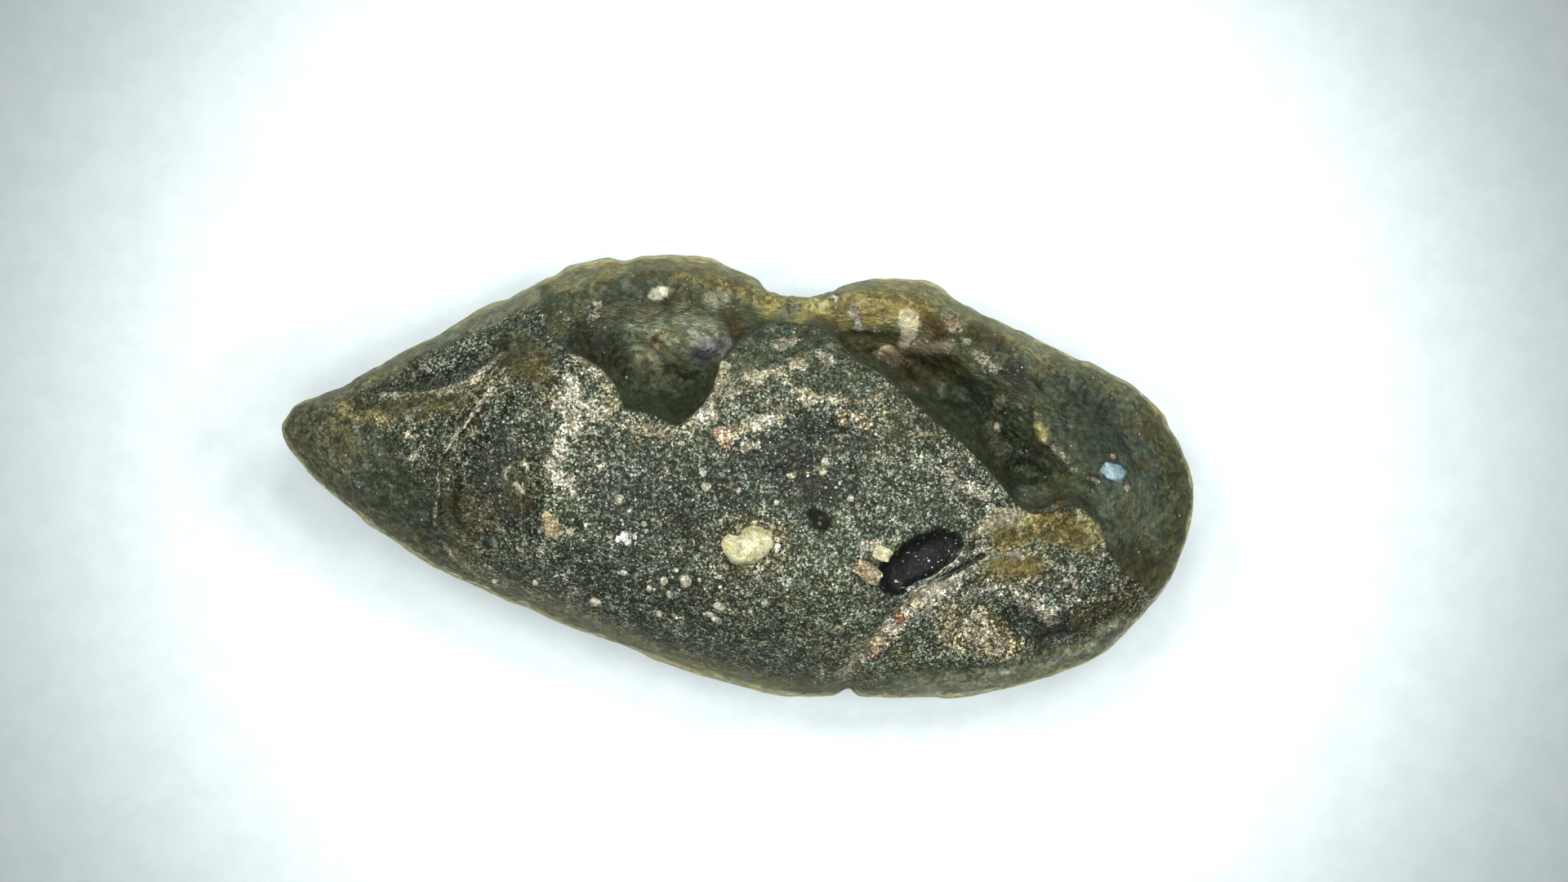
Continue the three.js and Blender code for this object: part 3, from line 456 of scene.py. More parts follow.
# Finer forms than the solid's: rise, steepness (2 soft, 4 steep), route and half width.
FRONT_CARVING = [
    (-0.2, 4, [(3.51, -2.07), (3.92, -1.8), (4.39, -1.57)], 0.41),  # lens pit
    (0.05, 2, [(4.71, -0.89), (5.03, -1.1)], 0.16),  # swelling beside it
    (-0.12, 3, [(3.71, -1.6), (4.1, -1.42)], 0.21),
    (0.12, 2, [(3.65, -2.32), (4.39, -2.03), (4.82, -1.78)], 0.07),
    (-0.13, 2, [(3.83, -2.43), (4.58, -2.1), (5.33, -1.66)], 0.09),  # its crescent
    (-0.2, 2, [(3.9, -2.69), (3.45, -3.09), (3.04, -3.45), (2.7, -3.84), (2.45, -4.2),
        (2.34, -4.9)], 0.15),  # furrow
    (0.13, 2, [(-5.28, 2.17), (-5.5, 1.75), (-5.91, 1.33), (-6.26, 0.87), (-6.5, 0.55),
        (-6.57, -0.24), (-6.64, -1.05)], 0.09),  # step along the flute
    (-0.22, 2, [(-5.01, 2.09), (-5.24, 1.55), (-5.64, 1.1), (-6.0, 0.69), (-6.25, 0.3),
        (-6.32, -0.24), (-6.39, -0.96)], 0.21),
    (-0.12, 2, [(-4.9, 1.19), (-4.99, 0.01), (-4.71, -0.78)], 0.5),
    (0.1, 2, [(-3.71, 2.0), (-3.71, 0.74), (-4.01, -0.6)], 0.3),  # ridge beside it
    # hollow over the ledge
    (-0.24, 2, [(-7.7, 2.16), (-6.89, 2.35), (-6.0, 2.59), (-5.24, 2.91)], 0.21),
    # ledge
    (0.08, 2, [(-7.97, 1.83), (-7.07, 1.87), (-6.18, 2.01), (-5.64, 2.3), (-5.19, 2.77)], 0.09),
    (0.1, 2, [(-8.32, 2.09), (-7.25, 2.5), (-6.18, 2.93), (-5.46, 3.12), (-4.74, 3.3)], 0.11),
    (0.05, 3, [(-7.91, 1.35), (-7.66, 1.35)], 0.14),  # bubble by the point
    (-0.05, 2, [(-8.59, 1.55), (-8.32, 1.3)], 0.09),
    (0.06, 3, [(-8.4, 1.15), (-8.31, 0.83)], 0.14),
    (-0.12, 2, [(1.79, -0.81)], 0.23),  # dark dip
    (-0.08, 2, [(1.84, -0.33)], 0.21),
    (-0.12, 2, [(0.9, 1.6), (2.2, 1.49)], 0.16),  # streaked groove
    (-0.1, 2, [(1.09, 1.19), (2.2, 1.15)], 0.14),
    (0.1, 2, [(2.29, 1.49), (3.2, 1.46)], 0.14),
    (-0.14, 2, [(2.27, 1.28)], 0.13),  # hole in the clay
    # roll of the edge
    (0.09, 2, [(6.84, -3.75), (7.39, -3.71), (8.11, -3.3), (8.75, -2.84)], 0.11),
    (0.06, 2, [(4.6, -4.72), (5.5, -4.57), (6.35, -4.43), (7.43, -4.04), (8.05, -3.73)], 0.25),
    (0.08, 2, [(-9.93, 1.05), (-9.9, 0.65)], 0.25),  # end of the point
    (0.07, 2, [(-1.88, -3.93), (-0.81, -4.29), (0.36, -4.57), (0.98, -4.68)], 0.25),
    (0.06, 2, [(-8.14, -0.96), (-6.8, -1.78), (-6.0, -2.21), (-5.01, -2.64)], 0.25),
    (0.1, 2, [(-6.35, 3.41), (-5.41, 3.82)], 0.21),
    (-0.12, 2, [(6.5, -3.5), (7.39, -3.39), (8.2, -3.0)], 0.16),
    (0.12, 2, [(6.1, -2.6), (7.0, -2.94)], 0.21),
    (-0.12, 2, [(6.1, -2.19), (6.89, -2.1)], 0.14),
    (-0.1, 2, VALLEY, 0.16),  # valley
]
BACK_CARVING = [
    (0.1, 2, [(-3.85, 3.25), (-2.51, 3.39), (-1.88, 3.25)], 0.14),  # shelf's edge
    (-0.18, 2, [(-3.04, 3.0), (-2.2, 2.89)], 0.25),
    (-0.1, 2, [(-2.0, 3.75), (-1.16, 3.88)], 0.25),
    (0.05, 2, [(-0.7, 2.84)], 0.25),  # on the knob
    (-0.25, 2, [(0.72, 4.3), (1.07, 4.23), (1.43, 4.23)], 0.21),  # saddle
    (-0.16, 2, [(1.63, 4.23), (1.92, 4.23)], 0.2),
    (0.12, 2, [(-2.06, 4.66), (-1.34, 4.77), (-0.66, 4.73)], 0.29),  # back edge
    (0.12, 2, [(-3.67, 4.59), (-3.29, 4.73), (-2.86, 4.73)], 0.23),
    (0.1, 2, [(4.06, 4.2), (4.39, 4.09)], 0.21),
    (0.08, 2, [(7.7, 2.48), (8.86, 1.62), (9.22, 1.33)], 0.21),
    (-0.06, 2, [(4.56, 4.02), (5.28, 3.62)], 0.21),
    (-0.08, 2, [(-1.06, 2.98), (-0.95, 2.62)], 0.07),
    (0.1, 2, [(-0.48, 3.91), (-0.23, 4.05)], 0.18),
    (0.06, 2, [(-2.69, 2.41), (-2.33, 2.48)], 0.09),
    (-0.18, 3, [(2.45, 3.02), (3.13, 2.98)], 0.18),  # craters behind the second rim
    (-0.2, 2, [(4.19, 3.3)], 0.25),
    (-0.14, 2, [(5.28, 3.18)], 0.21),
    (-0.12, 2, [(5.84, 3.0)], 0.21),
    (-0.22, 2, [(3.94, 2.09), (4.56, 1.98)], 0.43),
    (0.1, 2, [(5.14, 2.41), (5.21, 1.73)], 0.14),
    (-0.2, 2, [(6.0, 2.1)], 0.29),
    (-0.08, 2, [(6.57, 2.05)], 0.14),
    (-0.16, 2, [(5.55, 0.74), (6.0, 0.12)], 0.36),
    (-0.1, 2, [(7.52, 1.05)], 0.27),
    (-0.12, 2, [(8.75, 0.37)], 0.16),
    (-0.08, 2, [(9.65, 0.1)], 0.14),
    (0.12, 2, [(3.6, 3.61), (3.67, 3.28), (3.62, 2.91)], 0.16),  # clay
    (0.07, 2, [(3.94, 2.93), (4.55, 2.89)], 0.14),
    (0.15, 2, [(6.5, 1.48), (6.57, 1.21), (6.69, 0.87)], 0.13),  # ridge
    (0.08, 2, FAR_STREAK, 0.13),
    (-0.12, 2, [(7.88, 1.91), (8.41, 0.92)], 0.25),
    (-0.1, 2, [(8.86, -0.6), (8.7, -1.8)], 0.3),
    (0.07, 2, [(4.6, 3.89), (6.46, 2.73), (8.41, 1.89)], 0.25),  # roll of the outer band
]

# How strong the grit and its painted glints are, and where they differ: route, half width and
# strength.
SPARKLE_FRONT = 1.0
SPARKLE_BACK = 0.42
SPARKLE_UNDER = 0.42
SPARKLE_FRONT_PATCHES = [
    ([(-7.25, 2.53), (-6.18, 2.62), (-5.46, 2.89)], 0.29, 1.3),
    ([(0.0, 2.62), (0.98, 3.16), (1.7, 2.8)], 0.72, 0.6),
    ([(2.06, 2.09), (3.13, 1.91), (3.67, 1.19)], 0.47, 0.8),
    ([(-9.72, 1.28), (-8.59, 0.69), (-7.61, -0.33), (-6.61, -0.99)], 0.9, 0.55),
    ([(-9.11, 1.83), (-7.25, 2.77), (-5.1, 3.91), (-2.86, 4.59)], 0.36, 0.35),
    ([(-8.59, 1.46), (-7.25, 1.55), (-6.09, 1.73)], 0.25, 0.6),
    (FRONT_BAND, 0.36, 0.5),
    ([(-4.03, -3.02), (-1.88, -3.91), (0.5, -4.63), (2.0, -4.72)], 0.3, 0.4),
    ([(3.47, -1.98), (4.39, -1.51)], 0.5, 0.75),
    ([(5.73, -1.14), (6.39, -1.01), (7.7, -1.23)], 0.47, 0.6),
    ([(5.55, -1.85), (6.39, -1.94)], 0.29, 0.6),
    ([(1.41, -0.06), (1.92, -0.31)], 0.32, 0.7),
    ([(-4.92, 2.89), (-4.3, 2.44)], 0.47, 0.6),
    (FLUTE_FLOOR, 0.5, 0.7),
    (VALLEY_BANK, 0.27, 0.6),
    ([(1.75, -0.85)], 0.25, 0.5),
]
SPARKLE_BACK_PATCHES = [
    ([(5.55, 1.91), (6.0, 0.47), (6.53, -0.3)], 0.61, 0.6),
    ([(7.61, 1.73), (8.59, 0.3), (8.86, -1.14), (8.41, -2.57)], 0.98, 0.36),
    ([(-4.03, 3.34), (-2.95, 3.43)], 0.36, 0.55),
]
# Glass that is smoother than the rest: route, half width and amount.
GLOSSY = [
    ([(3.49, -2.17), (4.48, -1.5)], 0.5, 0.05),
    ([(4.2, -2.4), (4.78, -2.03), (5.24, -1.71)], 0.12, 0.4),
    ([(-5.42, -1.35)], 0.22, 0.9),
    ([(1.75, -0.85)], 0.26, 0.8),
    ([(-5.0, 0.2), (-4.8, -0.6)], 0.4, 0.4),
]


# ------------------------------------------------------------------ small tools
def ramp(value, start, end):
    """0 before start and 1 past end, with a smooth turn between them."""
    share = np.clip((value - start) / (end - start), 0, 1)
    return share * share * (3 - 2 * share)


def wander(points, size, layer=0.0):
    """Smooth random values from about -1 to 1, which change over the given size."""
    shifted = points / size + layer * 17.3
    return np.array([noise.noise(Vector(p)) for p in shifted])


def distance_to(route, plan):
    """Distance in plan from each point to a line through the route's places."""
    ends = np.array(route if len(route) > 1 else route * 2, float)
    nearest = np.full(len(plan), np.inf)
    for start, end in zip(ends[:-1], ends[1:]):
        along = end - start
        length = max(along @ along, 1e-9)
        share = np.clip((plan - start) @ along / length, 0, 1)
        reach = np.linalg.norm(plan - start - share[:, None] * along, axis=1)
        nearest = np.minimum(nearest, reach)
    return nearest


def inside(loop, plan):
    """Whether each point lies inside a loop in plan."""
    found = np.zeros(len(plan), bool)
    x, y = plan.T
    for (ax, ay), (bx, by) in zip(loop, loop[1:] + loop[:1]):
        if ay != by:
            found ^= ((ay > y) != (by > y)) & (x < (bx - ax) * (y - ay) / (by - ay) + ax)
    return found


# ------------------------------------------------------------------ the glass body's mesh
def even_skin(name, node):
    """The solid's shape as an object with an even grid of small faces, in millimetres."""
    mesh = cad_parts[node].data.copy()
    bm = bmesh.new()
    bm.from_mesh(mesh)
    bmesh.ops.scale(bm, vec=(1 / MM,) * 3, verts=bm.verts)
    bmesh.ops.remove_doubles(bm, verts=bm.verts, dist=WELD)
    bm.to_mesh(mesh)
    bm.free()
    ob = bpy.data.objects.new(name, mesh)
    bpy.context.scene.collection.objects.link(ob)
    apply_modifier(ob, "REMESH", mode="VOXEL", voxel_size=MESH_STEP)
    ob.data.name = name
    return ob


def apply_modifier(ob, kind, **settings):
    """Gives an object the mesh that one modifier makes of it."""
    modifier = ob.modifiers.new(kind, kind)
    for name, value in settings.items():
        setattr(modifier, name, value)
    evaluated = ob.evaluated_get(bpy.context.evaluated_depsgraph_get())
    ob.data = bpy.data.meshes.new_from_object(evaluated)
    ob.modifiers.clear()


def corners(mesh):
    """The places of a mesh's vertices."""
    places = np.empty(len(mesh.vertices) * 3)
    mesh.vertices.foreach_get("co", places)
    return places.reshape(-1, 3)


def facing(mesh):
    """The normals of a mesh's vertices."""
    normals = np.empty(len(mesh.vertices) * 3)
    mesh.vertex_normals.foreach_get("vector", normals)
    return normals.reshape(-1, 3)


def place_corners(mesh, places):
    """Moves a mesh's vertices."""
    mesh.vertices.foreach_set("co", places.ravel())
    mesh.update()


def edge_ends(mesh):
    """The two vertices of each edge."""
    ends = np.empty(len(mesh.edges) * 2, int)
    mesh.edges.foreach_get("vertices", ends)
    return ends.reshape(-1, 2)


def neighbour_mean(values, ends):
    """The mean of each vertex's neighbours."""
    count = np.bincount(ends.ravel(), minlength=len(values))
    total = np.empty_like(values)
    for axis in range(values.shape[1]):
        column = values[:, axis]
        total[:, axis] = (
            np.bincount(ends[:, 0], column[ends[:, 1]], len(values))
            + np.bincount(ends[:, 1], column[ends[:, 0]], len(values)))
    return total / count[:, None]


def wear_smooth(mesh):
    """Rounds the solid's facets away, and leaves its rims and pits crisp."""
    ends = edge_ends(mesh)
    places = corners(mesh)
    for _ in range(FIRST_SMOOTHING):
        places += (neighbour_mean(places, ends) - places) * 0.5
    place_corners(mesh, places)
    normals = facing(mesh)
    turn = 1 - (normals * neighbour_mean(normals, ends)).sum(axis=1)
    for _ in range(CREASE_SPREAD):
        turn = np.maximum(turn, neighbour_mean(turn[:, None], ends)[:, 0])
    least, more = EASE
    ease = least + more * np.exp(-(turn / CREASE) ** 2)
    for _ in range(SMOOTHING):
        places += (neighbour_mean(places, ends) - places) * ease[:, None]
    place_corners(mesh, places)


class Skin:
    """What the dressing needs to know of each vertex of the glass."""

    def __init__(self, mesh):
        self.places, self.normals = corners(mesh), facing(mesh)
        self.plan = self.places[:, :2].copy()
        self.rise = self.normals[:, 2]
        height = self.places[:, 2]
        self.upper = ramp(height, *UPPER)
        self.seen = ramp(self.rise, *FACING_UP) * self.upper
        self.back = inside(RIM + BEYOND_RIM, self.plan).astype(float)
        self.front = 1 - self.back
        self.rest = ramp(height, *KEPT_FLAT)
        self.coarse = wander(self.places, COARSE)
        self.middling = wander(self.places, MIDDLING, 1)
        self.fine = wander(self.places, FINE, 2)
        self.ragged = self.middling + 0.7 * self.fine

    def stroke(self, route, width, ragged):
        """How far each vertex is from a route, in half widths, with a ragged edge."""
        return distance_to(route, self.plan) / width + ragged * self.ragged

    def patch(self, route, width, soft=SOFT_EDGE, ragged=RAGGED):
        """1 in the middle of a patch along a route, and fading out past its edge."""
        return 1 - ramp(self.stroke(route, width, ragged), *soft)


def both_sides(skin, front_rows, back_rows):
    """The rows of two lists, each with the side of the rim that it may touch."""
    for rows, side in ((front_rows, skin.front), (back_rows, skin.back)):
        for row in rows:
            yield row, side


def carve(skin):
    """Cuts the finer forms: furrow, flute's step, craters and ridges."""
    lift = np.zeros(len(skin.places))
    for (rise, steep, route, width), side in both_sides(skin, FRONT_CARVING, BACK_CARVING):
        away = np.maximum(skin.stroke(route, width, CARVING_RAGGED), 0)
        shape = np.exp(-(away ** steep))
        lift += rise * shape * side * skin.upper
    return lift


def outline(plan):
    """The places that stand out most in each direction, as a closed route round a shape."""
    turns = np.linspace(0, 2 * math.pi, OUTLINE_SIDES)
    ways = np.c_[np.cos(turns), np.sin(turns)]
    return [tuple(plan[np.argmax(plan @ way)]) for way in ways]


def grit_and_glint_strength(skin):
    """How gritty the skin is, with the painted glints that go with the grit: most on the front, and
    least on steep walls.
    """
    sparkle = SPARKLE_UNDER + (SPARKLE_FRONT - SPARKLE_UNDER) * skin.seen
    sparkle += (SPARKLE_BACK - sparkle) * skin.back * skin.seen
    for (route, width, strength), side in both_sides(
            skin, SPARKLE_FRONT_PATCHES, SPARKLE_BACK_PATCHES):
        sparkle += (strength - sparkle) * skin.patch(route, width) * skin.seen * side
    return sparkle * (STEEP_GRIT + (1 - STEEP_GRIT) * ramp(skin.rise, *GENTLE))


def clay_cover(skin):
    """Where clay lies on the glass, and how warm its colour is."""
    clay = UNDER_CLAY * ramp(0.6 * skin.coarse + 0.8 * skin.middling, 0.25, 0.7) * (1 - skin.seen)
    clay += FRONT_FILM * ramp(skin.middling + 0.5 * skin.fine, -0.2, 0.8) * skin.seen * skin.front
    warmth = np.clip(0.4 + skin.coarse, 0, 1)
    for (kind, route, width, amount), side in both_sides(skin, FRONT_CLAY, BACK_CLAY):
        strength = amount * skin.patch(route, width, CLAY_EDGE, CLAY_RAGGED) * skin.seen * side
        warmth += (kind - warmth) * ramp(strength, 0.05, 0.3)
        clay = np.maximum(clay, strength)
    return clay, warmth


def shade_towards(tint, kind, strength):
    """Moves the skin's colours towards one of the tints."""
    tint += (np.array(TINTS[kind]) - tint) * strength[:, None]


def glass_tint(skin):
    """The bare glass: clouds, then its stains, then light painted onto the steep walls behind the
    rim to offset their shade.
    """
    tint = np.array(GLASS) * (1 + 0.25 * skin.coarse + 0.15 * skin.middling)[:, None]
    size, amount = MOSS_CLOUDS
    shade_towards(tint, "moss", amount * ramp(wander(skin.places, size, 3), 0.0, 0.6))
    for (kind, route, width, amount), side in both_sides(skin, FRONT_STAINS, BACK_STAINS):
        shade_towards(tint, kind, amount * skin.patch(route, width) * skin.seen * side)
    steep = 1 - np.clip(skin.rise, 0, 1)
    behind = skin.back * skin.seen
    # Painted light: steep walls behind the rim are made paler to offset their shade.
    tint *= (1 + PAINTED_WALL_LIGHT * steep * behind)[:, None]
    tint *= 1 + (np.array(BACK_HUE) - 1) * behind[:, None]
    return tint


def add_crisp_stains(skin, tint, clay, sparkle):
    """Paints the crisp spots over glass and clay. The pale ones are less gritty."""
    for kind, route, width, amount in CRISP_STAINS:
        strength = amount * skin.patch(route, width, CRISP_EDGE) * skin.seen
        shade_towards(tint, kind, strength)
        clay -= clay * strength
        if TINTS[kind][0] > PALE_FROM:
            sparkle -= SPECK_GRIT * sparkle * strength


def paint_edge_light(skin, tint, reach):
    """Paints light along the outline: paler glass for light through the thin edge, and a cream line
    for the white floor's reflection.
    """
    edge = (1 - ramp(reach, 0.0, EDGE_LIGHT_WIDTH)) * (1 - ramp(skin.rise, *GENTLE))
    edge *= ramp(skin.rise + 0.5 * skin.coarse, -0.3, 0.3)
    # Painted light through the thin glass along the outline.
    shade_towards(tint, "painted_edge_light", EDGE_LIGHT_AMOUNT * edge)
    # Painted reflection: a pale cream line at the very edge.
    upright = skin.rise + 0.25 * skin.coarse + 0.15 * skin.fine
    edge = 1 - ramp(reach + 0.06 * skin.fine, 0.02, EDGE_LIGHT_CORE)
    edge *= ramp(upright, -0.3, 0.2) * (1 - ramp(upright, 0.15, 0.45))
    shade_towards(tint, "rim", EDGE_LIGHT_AMOUNT * edge)


def colour_skin(skin, mesh):
    """Works out the skin's colour, clay, grit and gloss, and keeps them as attributes."""
    sparkle, tint = grit_and_glint_strength(skin), glass_tint(skin)
    clay, warmth = clay_cover(skin)
    add_crisp_stains(skin, tint, clay, sparkle)
    reach = distance_to(outline(skin.plan), skin.plan)
    paint_edge_light(skin, tint, reach)
    gloss = np.zeros(len(skin.places))
    for route, width, amount in GLOSSY:
        gloss = np.maximum(gloss, amount * skin.patch(route, width) * skin.seen)
    # The height that the grit is laid out by: less behind the rim, so that it runs down the walls.
    level = skin.places[:, 2] * (0.8 - 0.55 * ramp(reach, 0.8, 1.6) * skin.back * skin.upper)

    colours = mesh.attributes.new("tint", "FLOAT_COLOR", "POINT")
    colours.data.foreach_set("color", np.c_[tint, np.ones(len(tint))].ravel())
    values = {"sparkle": sparkle, "clay": clay, "warmth": warmth, "gloss": gloss, "level": level}
    for name, column in values.items():
        mesh.attributes.new(name, "FLOAT", "POINT").data.foreach_set("value", column)
    return values


def dress_skin(mesh):
    """Carves, etches and colours the skin."""
    skin = Skin(mesh)
    layers = colour_skin(skin, mesh)
    ridged = 1 - 2 * np.abs(wander(skin.places, RIDGE_SIZE, 4))
    uneven = (MIDDLING_RELIEF * skin.middling + FINE_RELIEF * skin.fine + RIDGE_RELIEF * ridged)
    wild = 0.35 + 0.4 * skin.seen + 1.1 * skin.back * skin.seen * ramp(skin.rise, 0.2, 0.6)
    lift = carve(skin) + COARSE_RELIEF * skin.coarse
    lift += (1 - layers["gloss"]) * wild * uneven
    lift += CLAY_RELIEF * ramp(layers["clay"], 0.3, 0.6) * (1 + skin.fine)
    from_above = np.array([0, 0, 1.0]) * skin.seen[:, None]
    ways = skin.normals + from_above
    ways /= np.linalg.norm(ways, axis=1)[:, None]
    places = skin.places + ways * (lift * skin.rest)[:, None]
    places[:, 2] = np.maximum(places[:, 2], 0)
    place_corners(mesh, places)
    etch_pits(mesh, layers)


def etch_pits(mesh, layers):
    """Sinks small round pits into the skin: few and small on the front, more underneath."""
    rng = np.random.default_rng(SEED)
    places, normals = corners(mesh), facing(mesh)
    under = 1 - ramp(normals[:, 2], -0.2, 0.35)
    tree = KDTree(len(places))
    for index, place in enumerate(places):
        tree.insert(place, index)
    tree.balance()
    sunk = np.zeros(len(places))
    least, common, rare = PIT_RADII
    for index in rng.integers(0, len(places), PIT_COUNT):
        size, keep = rng.random(2)
        if keep > 0.3 + 0.7 * under[index] or layers["gloss"][index] > 0.3 or (
                abs(normals[index][2]) < 0.4):
            continue
        radius = least + common * size + rare * size ** 6 * (1 + under[index])
        squash = rng.uniform(0.6, 1.0)
        for _, near, reach in tree.find_range(places[index], radius):
            bowl = -PIT_DEPTH * radius * squash * (1 - (reach / radius) ** 2)
            sunk[near] = min(sunk[near], bowl)
    rest = ramp(places[:, 2], *PIT_FREE)
    places += normals * (sunk * rest)[:, None]
    place_corners(mesh, places)


# ------------------------------------------------------------------ shader building blocks
def add(tree, kind, sockets=None, **settings):
    """Adds a node: its settings, and a value or a link for each socket that is named."""
    made = tree.nodes.new(kind)
    for name, value in settings.items():
        setattr(made, name, value)
    for key, value in (sockets or {}).items():
        if isinstance(value, bpy.types.NodeSocket):
            tree.links.new(value, made.inputs[key])
        else:
            made.inputs[key].default_value = value
    return made


def maths(tree, operation, *values):
    """A sum, product or other operation on numbers."""
    return add(tree, "ShaderNodeMath", dict(enumerate(values)), operation=operation).outputs[0]


def mix(tree, share, first, second, how="MIX"):
    """A colour between two others, or a blend of them."""
    def colour(value):
        return value if isinstance(value, bpy.types.NodeSocket) else (*value[:3], 1)
    made = add(tree, "ShaderNodeMix", {0: share, 6: colour(first), 7: colour(second)},
               data_type="RGBA", blend_type=how)
    return made.outputs[2]


def mix_value(tree, share, first, second):
    """A number between two others."""
    step = maths(tree, "SUBTRACT", second, first)
    return maths(tree, "ADD", first, maths(tree, "MULTIPLY", share, step))


def soft_step(tree, value, start, end, low=0.0, high=1.0):
    """Low before start and high past end, with a smooth turn between them."""
    made = add(tree, "ShaderNodeMapRange", {0: value, 1: start, 2: end, 3: low, 4: high},
               interpolation_type="SMOOTHSTEP")
    return made.outputs[0]


def grain_noise(tree, vector, per_mm, detail=2.0, rough=0.5):
    """Cloudy noise with so many clouds in a millimetre."""
    made = add(tree, "ShaderNodeTexNoise",
               {"Vector": vector, "Scale": per_mm, "Detail": detail, "Roughness": rough})
    return made.outputs[0]


def object_millimetres(tree):
    """The place in the piece's own frame, in millimetres."""
    place = add(tree, "ShaderNodeTexCoord").outputs["Object"]
    return add(tree, "ShaderNodeMapping", {"Vector": place, "Scale": (1 / MM,) * 3}).outputs[0]


def attribute(tree, name, output="Fac"):
    """A value that the skin's vertices hold."""
    return add(tree, "ShaderNodeAttribute", attribute_name=name).outputs[output]


def new_group(name, inputs, outputs):
    """A node group with named sockets: its tree, what it takes in and what it gives."""
    tree = bpy.data.node_groups.new(name, "ShaderNodeTree")
    for way, sockets in (("INPUT", inputs), ("OUTPUT", outputs)):
        for socket, kind in sockets.items():
            tree.interface.new_socket(socket, in_out=way, socket_type=f"NodeSocket{kind}")
    taken = tree.nodes.new("NodeGroupInput").outputs
    return tree, taken, tree.nodes.new("NodeGroupOutput").inputs


def use_group(tree, group, sockets):
    """Places a node group, with its own values, and returns what it gives."""
    return add(tree, "ShaderNodeGroup", sockets, node_tree=group).outputs


def grit_and_glint_group():
    """Small angular facets, each of its own shade: a factor for a colour, painted glints with their
    colour, a colour cast and a height.
    """
    tree, taken, given = new_group(
        "grit", {"Vector": "Vector", "Per mm": "Float", "Contrast": "Float", "Mottle": "Float",
                 "Share": "Float", "Coarse": "Float"},
        {"Factor": "Float", "Glint": "Float", "Glint Colour": "Color", "Cast": "Color",
         "Height": "Float"})
    spot, per_mm = taken["Vector"], taken["Per mm"]
    level, chances = None, []
    for coarser, fine_spread, coarse_spread in ((1.0, 5.0, 1.2), (0.45, 1.8, 3.8)):
        cells = add(tree, "ShaderNodeTexVoronoi", {
            "Vector": spot, "Scale": maths(tree, "MULTIPLY", per_mm, coarser), "Randomness": 1.0})
        chance = add(tree, "ShaderNodeSeparateColor", {0: cells.outputs["Color"]}).outputs
        chances.append((chance, cells.outputs["Distance"]))
        spread = mix_value(tree, taken["Coarse"], fine_spread, coarse_spread)
        step = maths(tree, "MULTIPLY", maths(tree, "SUBTRACT", chance[0], 0.5), spread)
        level = step if level is None else maths(tree, "ADD", level, step)
    clumps = grain_noise(tree, spot, maths(tree, "MULTIPLY", per_mm, 0.12), 4.0, 0.65)
    level = maths(tree, "MULTIPLY", maths(tree, "SUBTRACT", level, 0.5), taken["Contrast"])
    level = maths(tree, "ADD", level, maths(tree, "MULTIPLY", maths(
        tree, "MULTIPLY", maths(tree, "SUBTRACT", clumps, 0.5), 5.0), taken["Mottle"]))
    glint = None
    for (chance, reach), size, rarity in zip(chances, (0.6, 0.45), (0.7, 0.6)):
        odds = maths(tree, "MULTIPLY", maths(tree, "MULTIPLY", taken["Share"], rarity),
                     soft_step(tree, clumps, 0.4, 0.62, 0.3, 1.8))
        chosen = maths(tree, "LESS_THAN", chance[1], odds)
        dot = soft_step(tree, reach, size, size * 0.5)
        dot = maths(tree, "MULTIPLY", dot, chosen)
        glint = dot if glint is None else maths(tree, "MAXIMUM", glint, dot)
    tree.links.new(maths(tree, "POWER", 2.0, level), given["Factor"])
    tree.links.new(glint, given["Glint"])
    tree.links.new(mix(tree, chances[0][0][2], srgb(190, 178, 140), srgb(232, 242, 240)),
                   given["Glint Colour"])
    tree.links.new(mix(tree, chances[0][0][2], (1.14, 0.98, 0.8), (0.88, 1.02, 1.14)),
                   given["Cast"])
    tree.links.new(maths(tree, "ADD", maths(tree, "MULTIPLY", chances[1][0][0], 0.5), clumps),
                   given["Height"])
    return tree


def clay_colour(tree, spot, warmth):
    """Crumbly clay: rosy white, tan or rust."""
    cloud = soft_step(tree, grain_noise(tree, spot, 5.0, 4.0, 0.7), 0.35, 0.65)
    pale = mix(tree, cloud, srgb(150, 138, 116), srgb(194, 192, 172))
    tan = mix(tree, cloud, srgb(132, 122, 94), srgb(180, 176, 148))
    rust = mix(tree, cloud, srgb(160, 128, 100), srgb(196, 180, 152))
    colour = mix(tree, soft_step(tree, warmth, 0.0, 0.5), pale, tan)
    return mix(tree, soft_step(tree, warmth, 0.5, 1.0), colour, rust)


GRIT_AND_GLINTS = grit_and_glint_group()


def new_material(name):
    """A material, its node tree and its shader."""
    material = bpy.data.materials.new(name)
    material.use_nodes = True
    tree = material.node_tree
    return material, tree, tree.nodes["Principled BSDF"]


def finish_material(tree, shader, colour, roughness, height, relief):
    """Feeds a material's shader with a colour, a roughness and a height in millimetres."""
    bump = add(tree, "ShaderNodeBump", {
        "Strength": 1.0, "Distance": relief * MM, "Height": height})
    tree.links.new(colour, shader.inputs["Base Color"])
    tree.links.new(roughness, shader.inputs["Roughness"])
    tree.links.new(bump.outputs[0], shader.inputs["Normal"])


def scaled(tree, colour, factor):
    """A colour made lighter or darker by a factor."""
    grey = add(tree, "ShaderNodeCombineColor", {0: factor, 1: factor, 2: factor}).outputs[0]
    return mix(tree, 1.0, colour, grey, "MULTIPLY")


